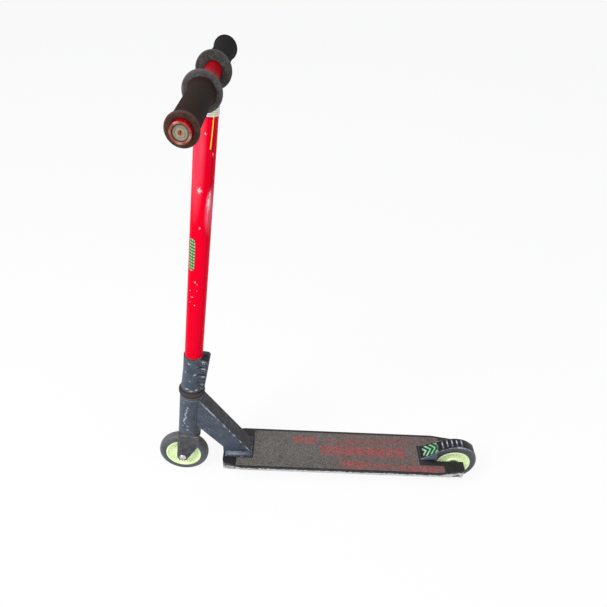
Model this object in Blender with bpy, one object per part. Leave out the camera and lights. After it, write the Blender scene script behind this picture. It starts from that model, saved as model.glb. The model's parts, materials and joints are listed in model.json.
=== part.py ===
"""Stunt scooter, modelled as its separate pieces in metres.

The scooter stands upright on its wheels with its bars straight. +Z is up, -X is forward and
+Y is the rider's right. The origin is on the ground, midway between the axles, in the mid-plane.
Three empties carry what moves: the steering axis, the two wheel axes and the brake's fold.
"""

import math

import bmesh
import bpy
from mathutils import Matrix, Vector

# Clearances between pieces that touch or run on each other
GAP = 0.0003
RUNNING_GAP = 0.0004

# Wheels
WHEELBASE = 0.561
WHEEL_RADIUS = 0.050
WHEEL_WIDTH = 0.024
TYRE_SHOULDER_SHARES = [(0.35, 1.0), (0.62, 0.94), (0.88, 0.68), (0.98, 0.34)]
CORE_RADIUS = 0.0356
CORE_WIDTH = 0.022
CORE_RIM = 0.0035
CORE_DISH = 0.0025
CORE_BEVEL = 0.0015
HUB_WALL = 0.0035
CORE_SLOTS = 28
CORE_SLOT_WIDTH = 0.0014
CORE_SLOT_INNER = 0.0222
CORE_SLOT_OUTER = 0.0305
BEARING_RADIUS = 0.011
BEARING_WIDTH = 0.007
BEARING_LEDGE = 0.0018
AXLE_RADIUS = 0.004
AXLE_HEAD_RADIUS = 0.0072
AXLE_HEAD_HEIGHT = 0.0055
AXLE_NUT_RADIUS = 0.0066
AXLE_NUT_HEIGHT = 0.006
SPACER_WALL = 0.0024

# Steering axis: leaning back from the vertical, with the front axle ahead of it
HEAD_ANGLE = math.radians(6.43)
FORK_OFFSET = 0.0087

# Fork
FORK_WIDTH = 0.0405
FORK_LEG_GAP = 0.029
FORK_LEG_THICKNESS = 0.005
FORK_BOSS_RADIUS = 0.012
FORK_TAPER_HEIGHT = 0.0345
CROWN_CLEARANCE = 0.0036
CROWN_HEIGHT = 0.010
STEERER_RADIUS = 0.0143
STEERER_WALL = 0.003

# Headset
CROWN_RACE_HEIGHT = 0.0012
HEAD_TUBE_RADIUS = 0.02175
HEAD_TUBE_BORE = 0.0173
HEAD_TUBE_LENGTH = 0.0958
CUP_HEIGHT = 0.006
CUP_LIP = 0.0004
CUP_WALL = 0.0027
CUP_SLEEVE_LENGTH = 0.008
CUP_SLEEVE_WALL = 0.0018
HEADSET_BEARING_HEIGHT = 0.0045
HEADSET_BEARING_WALL = 0.0042
SEAL_RADIUS = 0.0243
SEAL_HEIGHT = 0.0085
SEAL_CHAMFER = 0.0022

# Clamp
CLAMP_HEIGHT = 0.079
CLAMP_FOOT_RADIUS = 0.0204
CLAMP_TOP_RADIUS = 0.0178
CLAMP_FLARE_HEIGHT = 0.045
CLAMP_EAR_WIDTH = 0.026
CLAMP_EAR_TOP_REACH = 0.029
CLAMP_EAR_FOOT_REACH = 0.0238
CLAMP_EAR_CORNER = 0.006
CLAMP_EAR_FOOT_RISE = 0.0075
CLAMP_SLIT = 0.002
CLAMP_RELIEF_HEIGHT = 0.0016
CLAMP_RELIEF_INSET = 0.0082
CLAMP_BOLTS = 4
CLAMP_BOLT_PITCH = 0.0177
CLAMP_TOP_BOLT_DROP = 0.0095
CLAMP_BOLT_REACH = 0.0196
CLAMP_BOLT_RADIUS = 0.0023
CLAMP_BOLT_HEAD_RADIUS = 0.0038
CLAMP_BOLT_HEAD_HEIGHT = 0.0045
CLAMP_BOLT_SINK = 0.003
SOCKET_RADIUS = 0.0018
SOCKET_DEPTH = 0.002

# Steerer compression
BAR_INSERT = 0.038
CAP_THICKNESS = 0.003
STEERER_CAP_SPACE = 0.0062
CAP_BOLT_RADIUS = 0.003
CAP_BOLT_HEAD_RADIUS = 0.0065
CAP_BOLT_HEAD_HEIGHT = 0.005
CAP_BOLT_LENGTH = 0.030
STAR_NUT_HEIGHT = 0.008
SHIM_RISE = 0.003

# Handlebar
BAR_HEIGHT = 0.4513
BAR_TUBE_RADIUS = 0.0159
BAR_TUBE_WALL = 0.0022
CROSSBAR_LENGTH = 0.4105
CROSSBAR_RADIUS = 0.0111
CROSSBAR_WALL = 0.0025
BAR_TUBE_SHORT_OF_CENTRE = 0.003
PLUG_DEPTH = 0.015
PLUG_RECESS = 0.0012
PLUG_MARK_RADIUS = 0.0022
PLUG_MARK_DEPTH = 0.0012
PLUG_GROOVE = 0.0012

# Grips
GRIP_GAP = 0.103
GRIP_END_MARGIN = 0.0085
GRIP_RADIUS = 0.0155
GRIP_FLANGE_RADIUS = 0.0248
GRIP_FLANGE_THICKNESS = 0.005
GRIP_END_RADIUS = 0.0184
GRIP_END_THICKNESS = 0.0055
GRIP_BLEND = 0.007
GRIP_ROUNDING = 0.0014

# Label and its tie on the bar tube
LABEL_DROP = 0.0393
LABEL_HEIGHT = 0.022
LABEL_THICKNESS = 0.0005
TIE_WIDTH = 0.0024
TIE_THICKNESS = 0.0009
TIE_LENGTH = 0.058
TIE_TURN = math.radians(-55)
TIE_LEAN = math.radians(2.5)

# Deck, set out from the two axles
DECK_TOP = 0.0662
DECK_HEIGHT = 0.0240
DECK_HALF_WIDTH = 0.052
DECK_SIDE_HEIGHT = 0.010
DECK_CHAMFER_IN = 0.0135
DECK_WALL = 0.0028
DECK_FROM_FRONT_AXLE = 0.0835
DECK_PAST_REAR_AXLE = 0.0165
DECK_NOSE_HALF_WIDTH = 0.0455
DECK_NOSE_TAPER = 0.026
DECK_NOSE_CORNER = 0.0115
DECK_TAIL_HALF_WIDTH = 0.044
DECK_TAIL_TAPER = 0.055
DECK_TAIL_CORNER = 0.008
SLOT_HALF_WIDTH = 0.018
SLOT_AHEAD_OF_AXLE = 0.0545
AXLE_POCKET_RADIUS = 0.0088
AXLE_POCKET_FLOOR = 0.033

# Neck
NECK_HALF_WIDTH = 0.018
NECK_WALL = 0.003
NECK_BASE_LENGTH = 0.0585
NECK_BASE_RISE = 0.002
NECK_LEDGE_HALF_WIDTH = 0.0275
NECK_LEDGE_EDGE = 0.0015
NECK_LEDGE_HEIGHT = 0.005
NECK_LEDGE_SETBACK = 0.004
NECK_KNEE_HEIGHT = 0.018
NECK_TOP_DROP = 0.002
NECK_TOP_OUT = 0.016
NECK_FOOT_RISE = 0.0186
NECK_FOOT_OUT = 0.0225

# Grip tape
TAPE_THICKNESS = 0.0009
TAPE_NEAR_MARGIN = 0.0025
TAPE_FAR_MARGIN = 0.0062
TAPE_FRONT_NEAR = 0.0275
TAPE_FRONT_FAR = 0.0595
TAPE_NECK_MARGIN = 0.002
TAPE_CUT_NEAR = 0.032
TAPE_CUT_FAR = 0.020
TAPE_CUT_AHEAD_OF_AXLE = 0.0755
TAPE_END_AHEAD_OF_AXLE = 0.0255

# Flex brake over the rear wheel: a hollow wedge on the deck, and a ribbed hood that bends behind it
BRAKE_AHEAD_OF_AXLE = 0.0710
BRAKE_LIP = 0.0012
BRAKE_BLOCK_LENGTH = 0.013
BRAKE_FOOT_HALF_WIDTH = 0.017
BRAKE_FOOT_WALL = 0.0018
BRAKE_FOOT_ROOF = 0.0020
BRAKE_HALF_WIDTH = 0.0135
BRAKE_THICKNESS = 0.0024
BRAKE_TYRE_GAP = 0.0018
BRAKE_FOLD_SHARE = 0.78
BRAKE_START_DROP = 0.0015
BRAKE_TAIL_DROP = 0.0050
BRAKE_INNER_DROP_SHARE = 0.75
BRAKE_EDGE = 0.0015
BRAKE_SECTION_SHARES = [(-1, 1), (-0.93, 0.45), (-0.72, 0.08), (0, 0), (0.72, 0.08), (0.93, 0.45), (1, 1)]
BRAKE_HOOD_STEPS = 12
BRAKE_TIP_STEPS = 3
BRAKE_TIP_NARROWING = 0.10
BRAKE_TAIL_ANGLE = math.radians(48)
BRAKE_RIBS = 5
BRAKE_RIB_START = math.radians(122)
BRAKE_RIB_STEP = math.radians(-10.2)
BRAKE_RIB_HALF_WIDTH = 0.0085
BRAKE_RIB_HEIGHT = 0.0014
BRAKE_RIB_THICKNESS = 0.0022
BRAKE_BOLT_SPREAD = 0.010
BRAKE_BOLT_BEHIND = 0.0057
BRAKE_BOLT_DEPTH = 0.0034
BRAKE_BOLT_RADIUS = 0.002
BRAKE_BOLT_HEAD_RADIUS = 0.0038
BRAKE_BOLT_HEAD_HEIGHT = 0.0018

# Faces round a turned piece
WHEEL_SEGMENTS = 48
CORE_SEGMENTS = 28
TUBE_SEGMENTS = 28
SMALL_SEGMENTS = 12
CUTTER_REACH = 0.3

# Places that follow from the sizes
FRONT_AXLE_X = -WHEELBASE / 2
REAR_AXLE_X = WHEELBASE / 2
DECK_NOSE_X = FRONT_AXLE_X + DECK_FROM_FRONT_AXLE
DECK_TAIL_X = REAR_AXLE_X + DECK_PAST_REAR_AXLE
SLOT_X = REAR_AXLE_X - SLOT_AHEAD_OF_AXLE
TAPE_LOW = DECK_TOP + GAP
TAPE_TOP = TAPE_LOW + TAPE_THICKNESS
BRAKE_FOOT_X = REAR_AXLE_X - BRAKE_AHEAD_OF_AXLE
BRAKE_BASE = DECK_TOP + GAP
BRAKE_BOLT_X = BRAKE_FOOT_X + BRAKE_BOLT_BEHIND
BRAKE_OUTER = WHEEL_RADIUS + BRAKE_TYRE_GAP + BRAKE_THICKNESS

# Heights up the steering axis, from the point nearest the front axle
CROWN_LOW = WHEEL_RADIUS + CROWN_CLEARANCE
CROWN_TOP = CROWN_LOW + CROWN_HEIGHT
RACE_LOW = CROWN_TOP + GAP
LOWER_CUP_LOW = RACE_LOW + CROWN_RACE_HEIGHT - CUP_LIP
LOWER_CUP_TOP = LOWER_CUP_LOW + CUP_HEIGHT
HEAD_TUBE_LOW = LOWER_CUP_TOP + GAP
HEAD_TUBE_TOP = HEAD_TUBE_LOW + HEAD_TUBE_LENGTH
UPPER_CUP_LOW = HEAD_TUBE_TOP + GAP
UPPER_CUP_TOP = UPPER_CUP_LOW + CUP_HEIGHT
SEAL_LOW = UPPER_CUP_TOP + GAP
SEAL_TOP = SEAL_LOW + SEAL_HEIGHT
CLAMP_LOW = SEAL_TOP + GAP
CLAMP_TOP = CLAMP_LOW + CLAMP_HEIGHT
BAR_TUBE_LOW = CLAMP_TOP - BAR_INSERT
STEERER_TOP = BAR_TUBE_LOW - STEERER_CAP_SPACE
CROSSBAR_HEIGHT = CLAMP_TOP + BAR_HEIGHT
NECK_TOP_HEIGHT = HEAD_TUBE_TOP - NECK_TOP_DROP
NECK_FOOT_HEIGHT = HEAD_TUBE_LOW + NECK_FOOT_RISE

# Colours as red, green and blue from 0 to 1
RED_PAINT = (0.55, 0.01, 0.02)
SLATE_PAINT = (0.05, 0.065, 0.085)
BLACK_PAINT = (0.02, 0.02, 0.022)
BLACK_RUBBER = (0.025, 0.022, 0.02)
BLACK_PLASTIC = (0.018, 0.02, 0.024)
TYRE_GREY = (0.045, 0.045, 0.05)
LIME_PLASTIC = (0.55, 0.78, 0.30)
BARE_STEEL = (0.55, 0.55, 0.56)
GRIT_GREY = (0.07, 0.065, 0.06)
PAPER_WHITE = (0.75, 0.75, 0.74)
TIE_YELLOW = (0.80, 0.72, 0.10)
GREY_PLASTIC = (0.25, 0.27, 0.22)

ALONG_Y = Matrix.Rotation(math.radians(-90), 4, "X")


def clear_scene():
    """Removes every object that the file starts with."""
    for obj in list(bpy.data.objects):
        bpy.data.objects.remove(obj)


def make_material(name, colour, roughness, metallic=0.0):
    """A plain Principled material in one colour."""
    material = bpy.data.materials.new(name)
    material.use_nodes = True
    shader = material.node_tree.nodes["Principled BSDF"]
    shader.inputs["Base Color"].default_value = (*colour, 1)
    shader.inputs["Roughness"].default_value = roughness
    shader.inputs["Metallic"].default_value = metallic
    return material


def make_empty(name, matrix, parent=None):
    """An empty whose local Z runs along a joint's axis or up a piece."""
    empty = bpy.data.objects.new(name, None)
    bpy.context.scene.collection.objects.link(empty)
    empty.parent = parent
    empty.matrix_basis = matrix
    return empty


def make_object(name, mesh_data, material, parent=None, matrix=None):
    """Puts a bmesh in the scene as one named piece."""
    bmesh.ops.remove_doubles(mesh_data, verts=mesh_data.verts, dist=1e-6)
    bmesh.ops.recalc_face_normals(mesh_data, faces=mesh_data.faces)
    mesh = bpy.data.meshes.new(name)
    mesh_data.to_mesh(mesh)
    mesh_data.free()
    mesh.shade_smooth()
    mesh.set_sharp_from_angle(angle=math.radians(35))
    if material:
        mesh.materials.append(material)
    obj = bpy.data.objects.new(name, mesh)
    bpy.context.scene.collection.objects.link(obj)
    obj.parent = parent
    obj.matrix_basis = matrix or Matrix()
    return obj


def apply_boolean(obj, operation, name, mesh_data, matrix=None):
    """Cuts, joins or trims a piece with a hidden helper that shares its parent."""
    helper = make_object(name, mesh_data, None, obj.parent, matrix or obj.matrix_basis)
    helper.hide_render = True
    helper.display_type = "WIRE"
    modifier = obj.modifiers.new(name, "BOOLEAN")
    modifier.operation = operation
    modifier.solver = "EXACT"
    modifier.object = helper


def lathe(profile, segments):
    """Turns a closed outline of (radius, height) points about Z. Points at radius 0 close a pole."""
    bm = bmesh.new()
    rings = []
    for radius, height in profile:
        if radius == 0:
            rings.append([bm.verts.new((0, 0, height))])
            continue
        angles = (2 * math.pi * i / segments for i in range(segments))
        rings.append([bm.verts.new((radius * math.cos(a), radius * math.sin(a), height)) for a in angles])
    for here, there in zip(rings, rings[1:] + rings[:1]):
        for i in range(segments):
            j = (i + 1) % segments
            corners = [here[i % len(here)], here[j % len(here)]]
            corners += [there[j % len(there)], there[i % len(there)]]
            corners = list(dict.fromkeys(corners))
            if len(corners) > 2:
                bm.faces.new(corners)
    return bm


def ring(inner, outer, low, high, segments=TUBE_SEGMENTS):
    """A plain tube about Z."""
    return lathe([(inner, low), (outer, low), (outer, high), (inner, high)], segments)


def cylinder(radius, low, high, segments=SMALL_SEGMENTS):
    """A plain round bar about Z."""
    return lathe([(0, low), (radius, low), (radius, high), (0, high)], segments)


def prism(outline, low, high, across):
    """Extrudes a flat outline along the axis named by across."""
    place = {
        "X": lambda a, b, depth: (depth, a, b),
        "Y": lambda a, b, depth: (a, depth, b),
        "Z": lambda a, b, depth: (a, b, depth),
    }[across]
    bm = bmesh.new()
    first = [bm.verts.new(place(a, b, low)) for a, b in outline]
    second = [bm.verts.new(place(a, b, high)) for a, b in outline]
    bm.faces.new(first)
    bm.faces.new(second)
    for i in range(len(outline)):
        j = (i + 1) % len(outline)
        bm.faces.new([first[i], first[j], second[j], second[i]])
    return bm


def box(low, high):
    """A box between two corners."""
    outline = [(low[0], low[1]), (high[0], low[1]), (high[0], high[1]), (low[0], high[1])]
    return prism(outline, low[2], high[2], "Z")


def merge(*parts):
    """Gathers bmeshes that don't meet into one helper."""
    whole = bmesh.new()
    for part in parts:
        mesh = bpy.data.meshes.new("merged")
        part.to_mesh(mesh)
        part.free()
        whole.from_mesh(mesh)
        bpy.data.meshes.remove(mesh)
    return whole


def arc(centre, radius, start, end, steps):
    """Points along an arc, from one angle in degrees to another."""
    angles = (math.radians(start + (end - start) * i / steps) for i in range(steps + 1))
    return [(centre[0] + radius * math.cos(a), centre[1] + radius * math.sin(a)) for a in angles]


def inset(outline, distance):
    """The outline with every side moved inwards by the same distance."""
    area = sum(a[0] * b[1] - b[0] * a[1] for a, b in zip(outline, outline[1:] + outline[:1]))
    turn = 1 if area > 0 else -1
    moved = []
    for before, here, after in zip(outline[-1:] + outline[:-1], outline, outline[1:] + outline[:1]):
        into = (Vector(here) - Vector(before)).normalized()
        out = (Vector(after) - Vector(here)).normalized()
        normals = [Vector((-d.y, d.x)) * turn for d in (into, out)]
        middle = (normals[0] + normals[1]).normalized()
        moved.append(tuple(Vector(here) + middle * distance / middle.dot(normals[0])))
    return moved


def steering_matrix():
    """The steering frame: local Z up the steering axis, local X towards the rear."""
    axle = Matrix.Translation((FRONT_AXLE_X, 0, WHEEL_RADIUS))
    return axle @ Matrix.Rotation(HEAD_ANGLE, 4, "Y") @ Matrix.Translation((FORK_OFFSET, 0, 0))


def steering_point(out, height):
    """The world (x, z) of a point in the steering frame's mid-plane."""
    point = steering_matrix() @ Vector((out, 0, height))
    return point.x, point.z


def wheel_matrix(x):
    """The frame of a wheel: local Z along the axle, towards the rider's right."""
    return Matrix.Translation((x, 0, WHEEL_RADIUS)) @ ALONG_Y


def make_tyre(name, parent):
    """Urethane tyre with a rounded tread."""
    half = WHEEL_WIDTH / 2
    depth = WHEEL_RADIUS - CORE_RADIUS
    side = [(CORE_RADIUS + GAP, CORE_WIDTH / 2)]
    side += [(CORE_RADIUS + out * depth, wide * half) for out, wide in TYRE_SHOULDER_SHARES]
    outline = side + [(WHEEL_RADIUS, 0)] + [(r, -y) for r, y in reversed(side)]
    urethane = make_material(name, TYRE_GREY, 0.6)
    return make_object(name, lathe(outline, WHEEL_SEGMENTS), urethane, parent)


def make_core(name, parent):
    """Moulded wheel core: a hub with two bearing seats, a slotted web and a rim."""
    face = CORE_WIDTH / 2
    seat = face - BEARING_WIDTH
    hub = BEARING_RADIUS + GAP + HUB_WALL
    rim = CORE_RADIUS - CORE_RIM
    web = face - CORE_DISH
    half = [
        (BEARING_RADIUS - BEARING_LEDGE, seat - GAP),
        (BEARING_RADIUS + GAP, seat - GAP),
        (BEARING_RADIUS + GAP, face),
        (hub, face),
        (hub + CORE_BEVEL, web),
        (rim - CORE_BEVEL, web),
        (rim, face),
        (CORE_RADIUS, face),
    ]
    outline = half + [(r, -y) for r, y in reversed(half)]
    core = make_object(name, lathe(outline, CORE_SEGMENTS), make_material(name, LIME_PLASTIC, 0.4), parent)
    slots = []
    for i in range(CORE_SLOTS):
        half_width = CORE_SLOT_WIDTH / 2
        slot = box((CORE_SLOT_INNER, -half_width, -CORE_WIDTH), (CORE_SLOT_OUTER, half_width, CORE_WIDTH))
        slot.transform(Matrix.Rotation(2 * math.pi * (i + 0.5) / CORE_SLOTS, 4, "Z"))
        slots.append(slot)
    apply_boolean(core, "DIFFERENCE", name + "_slots", merge(*slots))
    return core


def make_wheel(end, x, side_room, parent=None):
    """One wheel with its bearings, and the spacers that fill the room at each side of it."""
    matrix = wheel_matrix(x) if parent is None else Matrix.Translation((-FORK_OFFSET, 0, 0)) @ ALONG_Y
    axis = make_empty(end + "_wheel_axis", matrix, parent)
    steel = make_material(end + "_steel", BARE_STEEL, 0.3, 1.0)
    bore = AXLE_RADIUS + GAP
    make_tyre(end + "_tyre", axis)
    make_core(end + "_core", axis)
    face = CORE_WIDTH / 2
    seat = face - BEARING_WIDTH
    middle = ring(bore, bore + SPACER_WALL, GAP - seat, seat - GAP, SMALL_SEGMENTS)
    make_object(end + "_bearing_spacer", middle, steel, axis)
    for side, sign in (("left", -1), ("right", 1)):
        turned = Matrix.Rotation(0 if sign > 0 else math.pi, 4, "X")
        bearing = ring(bore, BEARING_RADIUS, seat, face - GAP, SMALL_SEGMENTS)
        make_object(f"{end}_bearing_{side}", bearing, steel, axis, turned)
        washer = ring(bore, bore + SPACER_WALL, face, side_room - GAP, SMALL_SEGMENTS)
        make_object(f"{end}_spacer_{side}", washer, steel, axis, turned)
    return axis


def make_axle(end, axis, head_face):
    """Axle bolt with a domed head on the left and its nut on the right, against the given faces."""
    steel = make_material(end + "_axle_steel", BARE_STEEL, 0.28, 1.0)
    head_low = head_face + GAP
    dome = head_low + AXLE_HEAD_HEIGHT
    end_of_thread = head_low + AXLE_NUT_HEIGHT + GAP
    profile = [
        (0, -dome),
        (0.6 * AXLE_HEAD_RADIUS, -dome + 0.12 * AXLE_HEAD_HEIGHT),
        (AXLE_HEAD_RADIUS, -head_low - 0.35 * AXLE_HEAD_HEIGHT),
        (AXLE_HEAD_RADIUS, -head_low),
        (AXLE_RADIUS, -head_low),
        (AXLE_RADIUS, end_of_thread),
        (0, end_of_thread),
    ]
    bolt = make_object(end + "_axle_bolt", lathe(profile, SMALL_SEGMENTS), steel, axis)
    socket = cylinder(SOCKET_RADIUS * 1.6, -dome - SOCKET_DEPTH, -dome + SOCKET_DEPTH, 6)
    apply_boolean(bolt, "DIFFERENCE", end + "_axle_socket", socket)
    hexagon = cylinder(AXLE_NUT_RADIUS, head_low, head_low + AXLE_NUT_HEIGHT, 6)
    nut = make_object(end + "_axle_nut", hexagon, steel, axis)
    thread = cylinder(AXLE_RADIUS + GAP, head_low - GAP, head_low + AXLE_NUT_HEIGHT + GAP)
    apply_boolean(nut, "DIFFERENCE", end + "_axle_nut_thread", thread)


def make_fork(steering):
    """Fork: two leg plates, a crown over the wheel and the steerer tube."""
    paint = make_material("fork_paint", BLACK_PAINT, 0.5)
    half = FORK_WIDTH / 2
    inner = FORK_LEG_GAP / 2
    outer = inner + FORK_LEG_THICKNESS
    boss = arc((-FORK_OFFSET, 0), FORK_BOSS_RADIUS, 180, 310, 8)
    front = (-max(half, FORK_OFFSET + FORK_BOSS_RADIUS), CROWN_LOW)
    leg = [front, *boss, (half, FORK_TAPER_HEIGHT), (half, CROWN_TOP), (front[0], CROWN_TOP)]
    fork = make_object("fork", prism(leg, -outer, outer, "Y"), paint, steering)
    room = box((-CUTTER_REACH, -inner, -CUTTER_REACH), (CUTTER_REACH, inner, CROWN_LOW))
    apply_boolean(fork, "DIFFERENCE", "fork_wheel_room", room)
    steerer = cylinder(STEERER_RADIUS, CROWN_TOP - CROWN_HEIGHT / 2, STEERER_TOP, TUBE_SEGMENTS)
    apply_boolean(fork, "UNION", "fork_steerer", steerer)
    bore = cylinder(STEERER_RADIUS - STEERER_WALL, CROWN_LOW - GAP, STEERER_TOP + GAP, TUBE_SEGMENTS)
    apply_boolean(fork, "DIFFERENCE", "fork_steerer_bore", bore)
    hole = cylinder(AXLE_RADIUS + GAP, -2 * outer, 2 * outer)
    place = Matrix.Translation((-FORK_OFFSET, 0, 0)) @ ALONG_Y
    apply_boolean(fork, "DIFFERENCE", "fork_axle_hole", hole, place)


def cup_profile(low, opens_down):
    """Outline of a headset cup, whose bearing recess opens away from the head tube."""
    bearing = STEERER_RADIUS + RUNNING_GAP + HEADSET_BEARING_WALL
    recess = bearing + GAP
    sleeve = HEAD_TUBE_BORE - GAP
    floor = CUP_LIP + HEADSET_BEARING_HEIGHT + GAP
    outline = [
        (recess, 0),
        (max(HEAD_TUBE_RADIUS, recess + CUP_WALL), 0),
        (max(HEAD_TUBE_RADIUS, recess + CUP_WALL), CUP_HEIGHT),
        (sleeve, CUP_HEIGHT),
        (sleeve, CUP_HEIGHT + CUP_SLEEVE_LENGTH),
        (sleeve - CUP_SLEEVE_WALL, CUP_HEIGHT + CUP_SLEEVE_LENGTH),
        (sleeve - CUP_SLEEVE_WALL, floor),
        (recess, floor),
    ]
    if opens_down:
        return [(r, low + h) for r, h in outline]
    return [(r, low + CUP_HEIGHT - h) for r, h in outline]


def make_headset(steering):
    """The head tube's cups and bearings, the crown race and the seal under the clamp."""
    steel = make_material("headset_steel", BARE_STEEL, 0.3, 1.0)
    grey = make_material("headset_cup_grey", SLATE_PAINT, 0.45)
    rubber = make_material("headset_seal_black", BLACK_RUBBER, 0.5)
    inner = STEERER_RADIUS + RUNNING_GAP
    outer = inner + HEADSET_BEARING_WALL
    race = ring(inner, outer - SEAL_CHAMFER, RACE_LOW, RACE_LOW + CROWN_RACE_HEIGHT)
    make_object("crown_race", race, steel, steering)
    make_object("lower_headset_cup", lathe(cup_profile(LOWER_CUP_LOW, True), TUBE_SEGMENTS), grey, steering)
    make_object("upper_headset_cup", lathe(cup_profile(UPPER_CUP_LOW, False), TUBE_SEGMENTS), grey, steering)
    low = RACE_LOW + CROWN_RACE_HEIGHT + GAP
    lower = ring(inner, outer, low, LOWER_CUP_LOW + CUP_LIP + HEADSET_BEARING_HEIGHT)
    make_object("lower_headset_bearing", lower, steel, steering)
    top = UPPER_CUP_TOP - CUP_LIP
    upper = ring(inner, outer, top - HEADSET_BEARING_HEIGHT, top)
    make_object("upper_headset_bearing", upper, steel, steering)
    seal = [
        (inner, SEAL_LOW),
        (SEAL_RADIUS - 0.3 * SEAL_CHAMFER, SEAL_LOW),
        (SEAL_RADIUS, SEAL_LOW + 0.5 * SEAL_CHAMFER),
        (SEAL_RADIUS, SEAL_TOP - 1.4 * SEAL_CHAMFER),
        (SEAL_RADIUS - SEAL_CHAMFER, SEAL_TOP),
        (inner, SEAL_TOP),
    ]
    make_object("headset_seal", lathe(seal, TUBE_SEGMENTS), rubber, steering)


def clamp_bolt_heights():
    """Heights of the clamp bolts up the steering axis, from the top one down."""
    return [CLAMP_TOP - CLAMP_TOP_BOLT_DROP - i * CLAMP_BOLT_PITCH for i in range(CLAMP_BOLTS)]


def make_clamp(steering):
    """Split clamp with two ears at the rear, drawn together by cross bolts."""
    paint = make_material("clamp_paint", SLATE_PAINT, 0.4)
    flare_top = CLAMP_LOW + CLAMP_FLARE_HEIGHT
    body = [
        (0, CLAMP_LOW),
        (CLAMP_FOOT_RADIUS - CORE_BEVEL, CLAMP_LOW),
        (CLAMP_FOOT_RADIUS, CLAMP_LOW + 2 * CORE_BEVEL),
        (CLAMP_TOP_RADIUS, flare_top),
        (CLAMP_TOP_RADIUS, CLAMP_TOP),
        (0, CLAMP_TOP),
    ]
    clamp = make_object("clamp", lathe(body, TUBE_SEGMENTS), paint, steering)
    half = CLAMP_EAR_WIDTH / 2
    foot = CLAMP_LOW + CLAMP_EAR_FOOT_RISE
    corner = (CLAMP_EAR_TOP_REACH - CLAMP_EAR_CORNER, CLAMP_TOP - CLAMP_EAR_CORNER)
    ears = [(0, foot), (CLAMP_EAR_FOOT_REACH - CLAMP_EAR_CORNER / 2, foot)]
    ears += [(CLAMP_EAR_FOOT_REACH, foot + CLAMP_EAR_CORNER / 2)]
    ears += arc(corner, CLAMP_EAR_CORNER, 0, 90, 4) + [(0, CLAMP_TOP)]
    apply_boolean(clamp, "UNION", "clamp_ears", prism(ears, -half, half, "Y"))
    bore = cylinder(BAR_TUBE_RADIUS + GAP, CLAMP_LOW - CUTTER_REACH, CLAMP_TOP + CUTTER_REACH, TUBE_SEGMENTS)
    apply_boolean(clamp, "DIFFERENCE", "clamp_bore", bore)
    slit = CLAMP_SLIT / 2
    split = box((0, -slit, CLAMP_LOW - CUTTER_REACH), (CUTTER_REACH, slit, CLAMP_TOP + CUTTER_REACH))
    apply_boolean(clamp, "DIFFERENCE", "clamp_split", split)
    heights = clamp_bolt_heights()
    reliefs = []
    for upper, lower in zip(heights, heights[1:]):
        low = (upper + lower - CLAMP_RELIEF_HEIGHT) / 2
        high = low + CLAMP_RELIEF_HEIGHT
        reliefs.append(box((CLAMP_RELIEF_INSET, -2 * half, low), (2 * CLAMP_EAR_TOP_REACH, 2 * half, high)))
    apply_boolean(clamp, "DIFFERENCE", "clamp_reliefs", merge(*reliefs))
    steel = make_material("clamp_bolt_steel", BARE_STEEL, 0.35, 1.0)
    holes = []
    for height in heights:
        place = Matrix.Translation((CLAMP_BOLT_REACH, 0, height)) @ ALONG_Y
        hole = cylinder(CLAMP_BOLT_RADIUS + GAP, -2 * half, 2 * half)
        pocket = cylinder(CLAMP_BOLT_HEAD_RADIUS + GAP, -2 * half, CLAMP_BOLT_SINK - half)
        hole.transform(place)
        pocket.transform(place)
        holes.append((hole, pocket))
    apply_boolean(clamp, "DIFFERENCE", "clamp_bolt_holes", merge(*(hole for hole, _ in holes)))
    apply_boolean(clamp, "DIFFERENCE", "clamp_bolt_pockets", merge(*(pocket for _, pocket in holes)))
    for i, height in enumerate(heights):
        place = Matrix.Translation((CLAMP_BOLT_REACH, 0, height)) @ ALONG_Y
        seat = CLAMP_BOLT_SINK - half - GAP
        head = seat - CLAMP_BOLT_HEAD_HEIGHT
        profile = [
            (0, head),
            (CLAMP_BOLT_HEAD_RADIUS - SOCKET_RADIUS / 4, head),
            (CLAMP_BOLT_HEAD_RADIUS, head + SOCKET_RADIUS / 4),
            (CLAMP_BOLT_HEAD_RADIUS, seat),
            (CLAMP_BOLT_RADIUS, seat),
            (CLAMP_BOLT_RADIUS, half - GAP),
            (0, half - GAP),
        ]
        name = f"clamp_bolt_{i + 1}"
        bolt = make_object(name, lathe(profile, SMALL_SEGMENTS), steel, steering, place)
        socket = cylinder(SOCKET_RADIUS, head - SOCKET_DEPTH, head + SOCKET_DEPTH, 6)
        apply_boolean(bolt, "DIFFERENCE", name + "_socket", socket)


def make_compression(steering):
    """What draws the headset together inside the clamp: shim, cap, bolt and star nut."""
    steel = make_material("compression_steel", BARE_STEEL, 0.35, 1.0)
    shim = ring(STEERER_RADIUS + GAP, BAR_TUBE_RADIUS, CLAMP_LOW + SHIM_RISE, STEERER_TOP - SHIM_RISE)
    make_object("clamp_shim", shim, make_material("shim_aluminium", GREY_PLASTIC, 0.5, 0.5), steering)
    bore = CAP_BOLT_RADIUS + GAP
    cap_low = STEERER_TOP + GAP
    cap_top = cap_low + CAP_THICKNESS
    cap = ring(bore, STEERER_RADIUS, cap_low, cap_top)
    make_object("compression_cap", cap, steel, steering)
    head_low = cap_top + GAP
    tip = head_low - CAP_BOLT_LENGTH
    bolt = [
        (0, tip),
        (CAP_BOLT_RADIUS, tip),
        (CAP_BOLT_RADIUS, head_low),
        (CAP_BOLT_HEAD_RADIUS, head_low),
        (CAP_BOLT_HEAD_RADIUS, head_low + CAP_BOLT_HEAD_HEIGHT),
        (0, head_low + CAP_BOLT_HEAD_HEIGHT),
    ]
    make_object("compression_bolt", lathe(bolt, SMALL_SEGMENTS), steel, steering)
    nut = ring(bore, STEERER_RADIUS - STEERER_WALL - GAP, tip + GAP, tip + STAR_NUT_HEIGHT, SMALL_SEGMENTS)
    make_object("star_nut", nut, steel, steering)


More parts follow.
